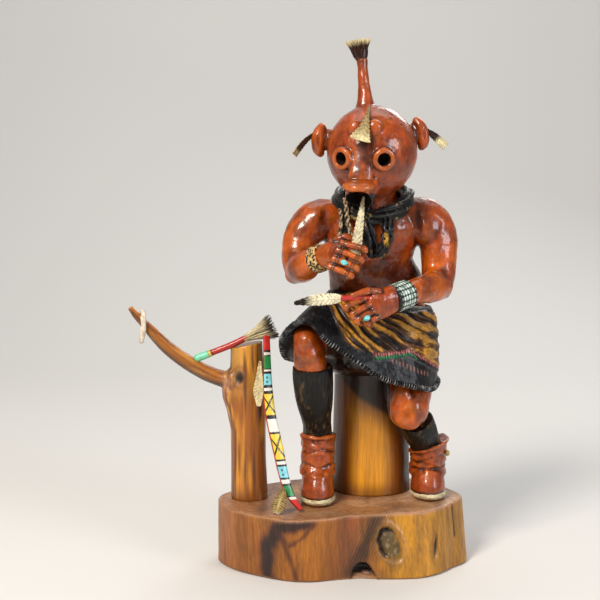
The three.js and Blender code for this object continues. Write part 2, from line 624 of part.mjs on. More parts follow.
// Prayer stick: capped, with a husk tuft, laid on the stump's sawn top
function prayerStick() {
  const slope = Math.tan(THREE.MathUtils.degToRad(TRUNK_CUT_TILT));
  const { x, y } = trunkAt(1);
  const rim = { x: x - TRUNK_RADIUS * 0.85, z: SLAB_HEIGHT + TRUNK_HEIGHT - slope * TRUNK_RADIUS * 0.85 };
  const tilt = 0.36; // rise for each millimetre to the right
  const lift = STICK_RADIUS * 1.12 + GAP;
  const at = (offset, size, thickness, raise = 0) => [
    rim.x + offset,
    y - 3.2,
    rim.z + lift + tilt * offset + raise,
    size,
    thickness,
  ];
  const r = STICK_RADIUS;
  return limb(
    [
      at(-16.5, r * 1.15, r * 1.15), at(-9, r * 1.3, r * 1.3), at(-7.4, r, r), at(6, r, r, 0.5),
      at(9, r * 1.3, r, 1), at(16, r * 2.2, r * 0.9, 2.2), at(23.5, r * 1.9, r * 0.7, 3.2),
    ],
    { sides: 8, steps: 7, side: UP },
  );
}

// Hank: a white roll hung over the branch
function hank() {
  const over = new THREE.CatmullRomCurve3(BRANCH.map(([x, y, z]) => new THREE.Vector3(x, y, z)));
  const place = over.getPoint(0.82);
  const r = HANK_THICKNESS / 2;
  const away = BRANCH_RADIUS * 0.72 + r + GAP;
  const at = (x, y, z, share) => [place.x + x, place.y + y, place.z + z, r * share, r * share];
  return limb(
    [
      at(-0.6, away, -5, 0.6), at(-0.3, away, 0.5, 0.9), at(0.2, away * 0.72, away * 0.9, 1),
      at(0.8, -away * 0.25, away * 1.22, 1), at(1.2, -away, away * 0.4, 1), at(1, -away * 1.06, -4.5, 1),
      at(-0.8, -away, -10.5, 0.6),
    ],
    { sides: 7, steps: 7, side: ACROSS },
  );
}

const doll = new THREE.Group();
doll.add(
  toMesh("slab", slab(), MATERIALS.slab),
  toMesh("log_seat", seat(), MATERIALS.log),
  toMesh("figure", figure(bowBody(GAP)), MATERIALS.figure),
  toMesh("forked_stump", forkedStump(), MATERIALS.log),
  toMesh("bow", bow(), MATERIALS.bow),
  toMesh("upper_bow_feather", hangingFeather(0.12, 22.5, 5.2, { x: -0.4, y: -4 }), MATERIALS.feather),
  toMesh("lower_bow_feather", hangingFeather(0.8, 12.6, 6.4, { x: -2, y: -5 }), MATERIALS.feather),
  toMesh("prayer_stick", prayerStick(), MATERIALS.stick),
  toMesh("white_hank", hank(), MATERIALS.hank),
  ...Object.entries(FEATHERS).map(([name, feather]) => toMesh(name, featherOf(feather), MATERIALS.feather)),
  ...Object.entries(RING_STONES).map(([name, stone]) => toMesh(name, stoneOf(stone), MATERIALS.stone)),
);

export default doll;
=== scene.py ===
# A seated kachina doll, carved and painted wood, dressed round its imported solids.
# Sizes are in millimetres, heights count from the slab's top, and meshes are made in metres.
# +Z is up and the figure faces -Y. Right and left are the figure's own.
import math
import random

import bmesh
import bpy
import numpy as np
from mathutils import Euler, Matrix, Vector, noise


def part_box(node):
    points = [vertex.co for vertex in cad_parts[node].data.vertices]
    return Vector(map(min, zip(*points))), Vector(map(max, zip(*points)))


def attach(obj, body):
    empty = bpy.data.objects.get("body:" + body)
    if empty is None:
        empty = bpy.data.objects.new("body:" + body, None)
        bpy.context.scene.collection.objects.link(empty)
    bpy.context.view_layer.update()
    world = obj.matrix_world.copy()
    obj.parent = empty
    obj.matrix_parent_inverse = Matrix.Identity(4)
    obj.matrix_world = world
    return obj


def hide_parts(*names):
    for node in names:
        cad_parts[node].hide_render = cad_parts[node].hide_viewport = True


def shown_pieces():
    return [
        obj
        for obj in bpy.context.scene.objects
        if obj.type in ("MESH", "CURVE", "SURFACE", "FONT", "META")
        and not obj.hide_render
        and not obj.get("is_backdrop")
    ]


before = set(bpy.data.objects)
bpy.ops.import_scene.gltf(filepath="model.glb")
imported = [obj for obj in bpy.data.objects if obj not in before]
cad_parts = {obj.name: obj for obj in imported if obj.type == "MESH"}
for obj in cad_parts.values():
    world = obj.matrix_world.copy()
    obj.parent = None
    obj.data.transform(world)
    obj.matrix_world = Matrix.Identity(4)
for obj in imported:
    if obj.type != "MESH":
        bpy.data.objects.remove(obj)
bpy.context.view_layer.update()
mm = 0.001
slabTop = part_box("slab")[1].z / mm
slabLift = np.array([0, 0, slabTop])  # added to a place given by its height above the slab's top
nudge = 0.01  # share of a path's length over which its direction is taken
chance = random.Random(11)
print("frame loaded")

# The photograph's camera: a point on its middle ray, how far off it stands and how much it looks down
photoView = {"aim": (-21.8, 0, 137.6), "distance": 598, "down": 5.5, "lens": 69, "sensor": 36}
camera = bpy.data.objects.new("camera", bpy.data.cameras.new("camera"))
camera.data.lens = photoView["lens"]
camera.data.sensor_width = photoView["sensor"]
camera.data.clip_start = 0.01
down = math.radians(photoView["down"])
back = Vector((0, -math.cos(down), math.sin(down))) * photoView["distance"]
camera.location = (Vector(photoView["aim"]) + back) * mm
camera.rotation_euler = (math.pi / 2 - down, 0, 0)
bpy.context.scene.collection.objects.link(camera)
bpy.context.scene.camera = camera
bpy.context.scene.view_settings.view_transform = "Standard"  # shows the paints as strong as they are


# Paths and lofts, as grids of points that become meshes
def pathThrough(points, closed=False):
    points = np.array(points, float)
    count = len(points)

    def at(t):
        if closed:
            place = (t % 1) * count
            first = int(place) % count
            near = [points[(first + k - 1) % count] for k in range(4)]
            f = place - int(place)
        else:
            place = min(max(t, 0), 1) * (count - 1)
            first = min(int(place), count - 2)
            near = [points[min(max(first + k - 1, 0), count - 1)] for k in range(4)]
            f = place - first
        a, b, c, d = near
        return 0.5 * (
            2 * b + (c - a) * f + (2 * a - 5 * b + 4 * c - d) * f * f + (3 * b - a - 3 * c + d) * f**3)

    return at


def unit(vector):
    return vector / max(np.linalg.norm(vector), 1e-9)


def squareOff(wave, boxy):
    # Below 1, boxy brings a round section nearer to a rectangle
    return np.sign(wave) * np.abs(wave) ** boxy


def loft(stations, sides=28, steps=26, side=(1, 0, 0), boxy=1.0, dome=(0.9, 0.9), closed=False):
    # Each station is x, y, height, half width along side and half thickness. A dome closes each end.
    at = pathThrough(stations, closed)
    domeRows = 0 if closed else 6
    turn = np.linspace(0, 2 * math.pi, sides + 1)[:, None]
    total = steps + 2 * domeRows
    rows = []
    for row in range(total + 1):
        t = min(max((row - domeRows) / steps, 0), 1)
        inDome = 1 if closed else min(row, total - row, domeRows) / domeRows
        swell, shrink = math.sin(inDome * math.pi / 2), math.cos(inDome * math.pi / 2)
        here = at(t)
        tangent = unit(at(t + nudge)[:3] - at(t - nudge)[:3])
        wide = unit(np.array(side, float) - tangent * np.dot(side, tangent))
        thick = np.cross(tangent, wide)
        width, depth = here[3], here[4]
        end = 0 if row < domeRows else 1
        reach = (2 * end - 1) * dome[end] * min(width, depth) * shrink
        ring = here[:3] + tangent * reach + wide * width * swell * squareOff(np.cos(turn), boxy)
        rows.append(ring + thick * depth * swell * squareOff(np.sin(turn), boxy) + slabLift)
    return np.array(rows)


def ball(centre, radii, turn=(0, 0, 0), sides=28, rows=18):
    spin = np.array(Euler([math.radians(a) for a in turn]).to_matrix())
    around = np.linspace(0, 2 * math.pi, sides + 1)[None, :]
    up = np.linspace(-math.pi / 2, math.pi / 2, rows + 1)[:, None]
    shape = np.stack(
        [np.cos(up) * np.cos(around), np.cos(up) * np.sin(around), np.sin(up) + 0 * around], -1)
    return (shape * radii) @ spin.T + np.array(centre) + slabLift


def strandsRound(stations, count, radius, thickness, turns, closed=False, steps=60, sides=8):
    # Strands that twist round a path, as yarn does in a cord
    at = pathThrough(stations, closed)
    grids = []
    for strand in range(count):
        line = []
        for k in range(steps + (0 if closed else 1)):
            t = k / steps
            here = at(t)
            tangent = unit(at(t + nudge)[:3] - at(t - nudge)[:3] + 1e-6)
            wide = unit(np.cross(tangent, (0.1, 0.2, 1)))
            angle = 2 * math.pi * (strand / count + turns * t)
            off = wide * math.cos(angle) * here[3] + np.cross(tangent, wide) * math.sin(angle) * here[4]
            wobble = 1 + 0.14 * math.sin(9 * t * math.pi + strand * 2.1)
            line.append([*(here[:3] + off * radius * wobble), thickness, thickness])
        grids.append(loft(line, sides=sides, steps=steps * 2, closed=closed, side=(0.1, 0.2, 1)))
    return grids


def pieceFrom(name, grids):
    bm = bmesh.new()
    bm.loops.layers.uv.new("UVMap")
    for grid in grids:
        rows, cols = grid.shape[0] - 1, grid.shape[1] - 1
        made = bmesh.ops.create_grid(bm, x_segments=cols, y_segments=rows, size=0.5, calc_uvs=True)["verts"]
        for vert in made:
            vert.co = grid[round((vert.co.y + 0.5) * rows), round((vert.co.x + 0.5) * cols)] * mm
        bmesh.ops.remove_doubles(bm, verts=made, dist=0.002 * mm)
    bmesh.ops.recalc_face_normals(bm, faces=bm.faces)
    mesh = bpy.data.meshes.new(name)
    bm.to_mesh(mesh)
    bm.free()
    mesh.shade_smooth()
    piece = bpy.data.objects.new(name, mesh)
    bpy.context.scene.collection.objects.link(piece)
    return piece


def settle(piece, *modifiers):
    # Applies modifiers, each given as its kind and settings
    for kind, settings in modifiers:
        modifier = piece.modifiers.new(kind, kind)
        for setting, value in settings.items():
            setattr(modifier, setting, value)
    ready = piece.evaluated_get(bpy.context.evaluated_depsgraph_get())
    mesh = bpy.data.meshes.new_from_object(ready)
    piece.modifiers.clear()
    piece.data = mesh
    mesh.shade_smooth()
    return piece


def carved(name, grids, grain=0.6, rounds=5):
    # Overlapping forms become one skin, and its edges are rubbed down as a carver does
    weld = ("REMESH", {"mode": "VOXEL", "voxel_size": grain * mm})
    return settle(pieceFrom(name, grids), weld, ("SMOOTH", {"factor": 0.5, "iterations": rounds}))


def readPoints(piece, kind="co"):
    values = np.empty(len(piece.data.vertices) * 3, np.float32)
    piece.data.vertices.foreach_get(kind, values)
    values = values.reshape(-1, 3).astype(float)
    return values / mm - slabLift if kind == "co" else values


def writePoints(piece, points):
    flat = ((points + slabLift) * mm).astype(np.float32).ravel()
    piece.data.vertices.foreach_set("co", flat)
    piece.data.update()


def hollows(piece, rounds=10):
    # How far each point lies below its rubbed-down surroundings, in millimetres
    count = len(piece.data.vertices)
    edges = np.empty(len(piece.data.edges) * 2, np.int32)
    piece.data.edges.foreach_get("vertices", edges)
    a, b = edges.reshape(-1, 2).T
    degree = np.maximum(np.bincount(np.concatenate([a, b]), minlength=count), 1)[:, None]
    points = readPoints(piece)
    soft = points
    for _ in range(rounds):
        sums = [np.bincount(a, soft[b, k], count) + np.bincount(b, soft[a, k], count) for k in range(3)]
        soft = np.stack(sums, 1) / degree
    return ((soft - points) * readPoints(piece, "normal")).sum(1)


def cloudy(points, size, seed=0.0):
    # Smooth noise from -1 to 1, with blobs about as wide as size
    scaled = points / np.array(size, float) + seed
    return np.array([noise.noise(Vector(place)) for place in scaled])


def ease(values, low, high):
    share = np.clip((values - low) / (high - low), 0, 1)
    return share * share * (3 - 2 * share)


def offLine(points, start, end):
    # Distance from each point to a straight line between two places
    start, end = np.array(start, float), np.array(end, float)
    along = np.clip(((points - start) @ (end - start)) / ((end - start) @ (end - start)), 0, 1)[:, None]
    return np.linalg.norm(points - start - along * (end - start), axis=1)


def nearLines(points, lines):
    near = np.full(len(points), 1e3)
    for line in lines:
        for start, end in zip(line, line[1:]):
            near = np.minimum(near, offLine(points, start, end))
    return near


def score(piece, lines, depth, width):
    # Cuts V grooves along lines of points
    points, normals = readPoints(piece), readPoints(piece, "normal")
    writePoints(piece, points - normals * (depth * (1 - ease(nearLines(points, lines), 0, width)))[:, None])


def readUv(piece):
    corners = np.empty(len(piece.data.loops), np.int32)
    piece.data.loops.foreach_get("vertex_index", corners)
    spots = np.empty(len(corners) * 2, np.float32)
    piece.data.uv_layers.active.data.foreach_get("uv", spots)
    uv = np.zeros((len(piece.data.vertices), 2))
    uv[corners] = spots.reshape(-1, 2)
    return uv


def store(piece, name, kind, values):
    field = "value" if kind == "FLOAT" else "vector"
    values = np.ascontiguousarray(values, np.float32).ravel()
    piece.data.attributes.new(name, kind, "POINT").data.foreach_set(field, values)


def hexLinear(code):
    parts = [int(code[i : i + 2], 16) / 255 for i in (1, 3, 5)]
    return np.array([c / 12.92 if c <= 0.04045 else ((c + 0.055) / 1.055) ** 2.4 for c in parts])


def brush(paint, code, weight):
    weight = np.broadcast_to(weight, (len(paint),))
    weight = np.clip(weight, 0, 1)[:, None]
    return paint * (1 - weight) + hexLinear(code) * weight


def ground(points, code):
    return np.tile(hexLinear(code), (len(points), 1))


def keep(piece, paint, cavity, material, slotName, *nodes):
    # Stores the paint and the depth of hollows on the mesh, gives it its material, parents it to the root
    # body and hides the imported parts it stands for
    count = len(piece.data.vertices)
    colours = np.ones((count, 4), np.float32)
    colours[:, :3] = paint
    layer = piece.data.color_attributes.new("paint", "FLOAT_COLOR", "POINT")
    layer.data.foreach_set("color", colours.ravel())
    depths = np.broadcast_to(cavity, (count,)).astype(np.float32)
    piece.data.attributes.new("hollow", "FLOAT", "POINT").data.foreach_set("value", depths.copy())
    piece.data.materials.clear()
    piece.data.materials.append(material)
    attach(piece, "root")
    if nodes:
        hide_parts(*nodes)
    return piece


# Materials. A Map Range node's sockets 1 to 4 are its old and new ends, a colour Mix's 0 is its share and
# 6 and 7 are its two colours.
def addNode(tree, kind, settings=None, links=None):
    node = tree.nodes.new("ShaderNode" + kind)
    for key, value in (settings or {}).items():
        if isinstance(key, str) and hasattr(node, key):
            setattr(node, key, value)
        else:
            node.inputs[key].default_value = value
    for key, socket in (links or {}).items():
        tree.links.new(socket, node.inputs[key])
    return node


def newMaterial(name):
    material = bpy.data.materials.new(name)
    material.use_nodes = True
    material.node_tree.nodes.clear()
    return material, material.node_tree


# Brushed-on paint and stain over carved wood, under varnish: mottled colour that darkens in the cuts,
# paler worn ridges, knife facets, fine tool marks, and as much gloss as the varnish gives it
def paintedCarving(name, look):
    material, tree = newMaterial(name)
    place = addNode(tree, "TexCoord").outputs["Object"]
    paint = addNode(tree, "Attribute", {"attribute_name": "paint"}).outputs["Color"]
    hollow = addNode(tree, "Attribute", {"attribute_name": "hollow"}).outputs["Fac"]
    fine = {"Scale": 1 / (look["blotch"] * mm), "Detail": 7, "Roughness": 0.65}
    blotch = addNode(tree, "TexNoise", fine, {"Vector": place})
    long = addNode(tree, "Mapping", {"Scale": (1, 1, 0.22)}, {"Vector": place})
    grain = addNode(
        tree, "TexNoise", {"Scale": 1 / (look["grain"] * mm), "Detail": 5}, {"Vector": long.outputs[0]})
    low, high = look["shade"]
    mottle = addNode(tree, "MapRange", {1: 0.34, 2: 0.66, 3: low, 4: high}, {0: blotch.outputs[0]})
    low, high = look["streak"]
    streak = addNode(tree, "MapRange", {1: 0.35, 2: 0.65, 3: low, 4: high}, {0: grain.outputs[0]})
    tone = addNode(tree, "Math", {"operation": "MULTIPLY"}, {0: mottle.outputs[0], 1: streak.outputs[0]})
    toned = addNode(tree, "VectorMath", {"operation": "SCALE"}, {0: paint, "Scale": tone.outputs[0]})
    deep = addNode(tree, "MapRange", {1: 0.02, 2: look["deep"], 3: 0, 4: look["stain"]}, {0: hollow})
    dark = {"data_type": "RGBA", 7: (*hexLinear(look["stainColour"]), 1)}
    stained = addNode(tree, "Mix", dark, {0: deep.outputs[0], 6: toned.outputs[0]})
    ridge = addNode(tree, "MapRange", {1: -0.03, 2: -look["deep"], 3: 0, 4: look["wear"]}, {0: hollow})
    rubbed = {"data_type": "RGBA", 7: (*hexLinear(look["wearColour"]), 1)}
    worn = addNode(tree, "Mix", rubbed, {0: ridge.outputs[0], 6: stained.outputs[2]})
    rough = look["rough"]
    sheen = addNode(
        tree, "MapRange", {1: 0.3, 2: 0.7, 3: rough - 0.07, 4: rough + 0.12}, {0: blotch.outputs[0]})
    dry = addNode(tree, "MapRange", {1: 0.5, 2: 1.5, 3: 0, 4: 0.9}, {0: hollow})
    dull = addNode(tree, "Math", {"operation": "MAXIMUM"}, {0: sheen.outputs[0], 1: dry.outputs[0]})
    film = addNode(tree, "MapRange", {1: 0.2, 2: 1.2, 3: look["coat"], 4: 0}, {0: hollow})
    tools = addNode(tree, "TexNoise", {"Scale": 1 / (look["marks"] * mm), "Detail": 4}, {"Vector": place})
    knife = {"feature": "SMOOTH_F1", "Scale": 1 / (look["facet"] * mm)}
    facets = addNode(tree, "TexVoronoi", knife, {"Vector": place})
    relief = addNode(tree, "Math", {"operation": "ADD"}, {0: tools.outputs[0], 1: grain.outputs[0]})
    if "weave" in look:
        uv = addNode(tree, "TexCoord").outputs["UV"]
        spread = addNode(tree, "Mapping", {"Scale": (*look["weave"], 1)}, {"Vector": uv})
        stitch = addNode(tree, "TexVoronoi", {"Scale": 1, "Randomness": 0.3}, {"Vector": spread.outputs[0]})
        woven = addNode(tree, "Attribute", {"attribute_name": "woven"}).outputs["Fac"]
        raised = addNode(tree, "Math", {"operation": "MULTIPLY"}, {0: stitch.outputs[0], 1: woven})
        knit = {"operation": "MULTIPLY_ADD", 1: -1.3}
        relief = addNode(tree, "Math", knit, {0: raised.outputs[0], 2: relief.outputs[0]})
    brushed = {"Strength": look["bump"], "Distance": look["relief"] * mm}
    bump = addNode(tree, "Bump", brushed, {"Height": relief.outputs[0]})
    planed = {"Strength": look["facetDepth"], "Distance": 0.6 * mm}
    surface = addNode(tree, "Bump", planed, {"Height": facets.outputs[0], "Normal": bump.outputs[0]})
    skin = {"Coat Roughness": look["coatRough"], "IOR": look["ior"], "Coat IOR": 1.5}
    shader = addNode(tree, "BsdfPrincipled", skin, {
        "Base Color": worn.outputs[2], "Roughness": dull.outputs[0], "Normal": surface.outputs[0],
        "Coat Weight": film.outputs[0]})
    addNode(tree, "OutputMaterial", {}, {"Surface": shader.outputs[0]})
    return material


varnished = {
    "blotch": 8, "grain": 1.4, "shade": (0.46, 1.28), "streak": (0.84, 1.14), "deep": 0.3, "stain": 0.9,
    "stainColour": "#180500", "wear": 0.26, "wearColour": "#CC6C24", "rough": 0.33, "marks": 1.6,
    "bump": 0.4, "relief": 0.4, "coat": 0.5, "coatRough": 0.12, "ior": 1.4, "facet": 3.4,
    "facetDepth": 0.35,
}
matt = {
    **varnished, "blotch": 3.5, "grain": 0.7, "shade": (0.55, 1.35), "wearColour": "#3C3A3A", "wear": 0.35,
    "rough": 0.42, "marks": 0.7, "bump": 0.5, "relief": 0.3, "coat": 0.24, "coatRough": 0.16, "ior": 1.28,
    "stainColour": "#030202", "facet": 1.6, "facetDepth": 0.25,
}
knitted = {**matt, "weave": (330, 46), "bump": 0.35, "relief": 0.35, "coat": 0.12}
pale = {
    **matt, "shade": (0.72, 1.12), "stainColour": "#4A3018", "stain": 0.7, "deep": 0.25,
    "wearColour": "#E8DCBE", "coat": 0.1, "rough": 0.55, "facetDepth": 0.1,
}
enamel = {
    **varnished, "blotch": 4, "shade": (0.82, 1.08), "streak": (0.93, 1.05), "stain": 0.5, "wear": 0.15,
    "wearColour": "#F0D8A0", "rough": 0.4, "coat": 0.3, "bump": 0.25, "facetDepth": 0.12,
}
# Red-brown stain in the wood under gloss varnish: blotchy, with sharp highlights on the knife facets
varnishedFlesh = paintedCarving("varnished stained cottonwood", varnished)
# Thin black paint on carved folds: nearly dull, rubbed grey along the ridges
mattPaint = paintedCarving("black paint on carved cloth", matt)
# The same paint over cut stitches, drawn a little coarser than real ones so that they show
knittedPaint = paintedCarving("black paint on carved knitting", knitted)
# Chalky cream paint on thin carved feathers: matt, and brown in the cuts
palePaint = paintedCarving("pale feather paint", pale)
# Enamel from a small brush: clean, even colours with a soft gloss
glossEnamel = paintedCarving("brushed enamel", enamel)


# Peeled and oiled wood: long fibres that follow the grain attribute, darker growth lines, open pores and
# a soft gloss. The hollow attribute carries the stain that sits in cracks and knots.
def oiledWood(name, look):
    material, tree = newMaterial(name)
    paint = addNode(tree, "Attribute", {"attribute_name": "paint"}).outputs["Color"]
    hollow = addNode(tree, "Attribute", {"attribute_name": "hollow"}).outputs["Fac"]
    grain = addNode(tree, "Attribute", {"attribute_name": "grain"}).outputs["Vector"]
    broad = {"Scale": 1 / look["band"], "Detail": 4, "Roughness": 0.55, "Distortion": 0.6}
    bands = addNode(tree, "TexNoise", broad, {"Vector": grain})
    thin = {"Scale": 1 / look["fibre"], "Detail": 6, "Roughness": 0.7}
    fibre = addNode(tree, "TexNoise", thin, {"Vector": grain})
    low, high = look["shade"]
    body = addNode(tree, "MapRange", {1: 0.34, 2: 0.66, 3: low, 4: high}, {0: bands.outputs[0]})
    pores = addNode(tree, "MapRange", {1: 0.35, 2: 0.62, 3: look["pore"], 4: 1.1}, {0: fibre.outputs[0]})
    tone = addNode(tree, "Math", {"operation": "MULTIPLY"}, {0: body.outputs[0], 1: pores.outputs[0]})
    toned = addNode(tree, "VectorMath", {"operation": "SCALE"}, {0: paint, "Scale": tone.outputs[0]})
    rings = addNode(tree, "TexNoise", {"Scale": 2.3 / look["band"], "Detail": 3}, {"Vector": grain})
    growth = addNode(tree, "MapRange", {1: 0.56, 2: 0.72, 3: 0, 4: look["lines"]}, {0: rings.outputs[0]})
    late = {"data_type": "RGBA", 7: (*hexLinear(look["lineColour"]), 1)}
    lined = addNode(tree, "Mix", late, {0: growth.outputs[0], 6: toned.outputs[0]})
    deep = addNode(tree, "MapRange", {1: 0.03, 2: 0.5, 3: 0, 4: 0.92}, {0: hollow})
    rot = {"data_type": "RGBA", 7: (*hexLinear("#170A05"), 1)}
    stained = addNode(tree, "Mix", rot, {0: deep.outputs[0], 6: lined.outputs[2]})
    rough = look["rough"]
    sheen = addNode(
        tree, "MapRange", {1: 0.3, 2: 0.7, 3: rough + 0.14, 4: rough - 0.08}, {0: fibre.outputs[0]})
    bump = addNode(
        tree, "Bump", {"Strength": 0.55, "Distance": look["relief"] * mm}, {"Height": fibre.outputs[0]})
    skin = {"Coat Weight": look["coat"], "Coat Roughness": 0.16, "IOR": 1.5}
    shader = addNode(tree, "BsdfPrincipled", skin, {
        "Base Color": stained.outputs[2], "Roughness": sheen.outputs[0], "Normal": bump.outputs[0]})
    addNode(tree, "OutputMaterial", {}, {"Surface": shader.outputs[0]})
    return material


honey = {
    "band": 6, "fibre": 0.9, "shade": (0.72, 1.2), "pore": 0.78, "lines": 0.45, "lineColour": "#5E2C0C",
    "rough": 0.36, "relief": 0.25, "coat": 0.25,
}
# A peeled stem: fine honey fibres that run along it
peeledLog = oiledWood("peeled and oiled log", honey)
# A slice of a thicker log: coarser fibres, open pores and less oil
logSlice = oiledWood("oiled log slice", {
    **honey, "band": 8, "fibre": 1.0, "shade": (0.66, 1.22), "pore": 0.66, "lines": 0.5, "rough": 0.42,
    "relief": 0.35, "coat": 0.12})
print("materials made")


# Slab: a slice of log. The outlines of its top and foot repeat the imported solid's.
slab = {
    "top": [
        (-65, 2), (-57, -22), (-42, -34.5), (-28, -43), (-16, -41.5), (-4, -37.5), (9, -33), (24, -29.5),
        (39, -27), (50, -20), (58, -9), (64.5, 5), (59, 20), (50, 33), (38, 43), (20, 47), (0, 45),
        (-22, 39), (-38, 30), (-55, 18)],
    "foot": [
        (-65, -2), (-58, -18), (-42, -31), (-28, -38), (-17, -39.5), (-5, -36.5), (8, -34), (22, -35),
        (38, -34), (48, -28), (56, -19), (66, -5), (61, 19), (51, 33), (38, 43), (20, 47), (0, 45),
        (-22, 39), (-38, 30), (-55, 16)],
    "knot": (23.6, -16), "knotSize": (5.8, 9.2), "knotLean": 0.4, "rotPocket": (10.5, -33),
    "pocketSize": (6.4, 8.6), "edge": 1.6, "reach": 45, "slit": (47.5, -18.5),
    "crack": [(57, 0, -1), (57.6, 0, -8), (58.6, 0, -17)],
    "stainBand": [(-18.7, 0, -1.5), (-32, 0, -4.5), (-38.4, 0, -15.6), (-39.2, 0, -26.7), (-37.5, 0, -33)],
    "stainStreaks": [
        [(-33, 0, -6), (-29.5, 0, -12.5), (-26, 0, -23), (-24, 0, -33)],
        [(-15, 0, -3), (-20, 0, -9), (-27, 0, -14)]],
    "smudge": [(17, 0, -1), (14.5, 0, -9), (9, 0, -19), (5, 0, -29)],
}


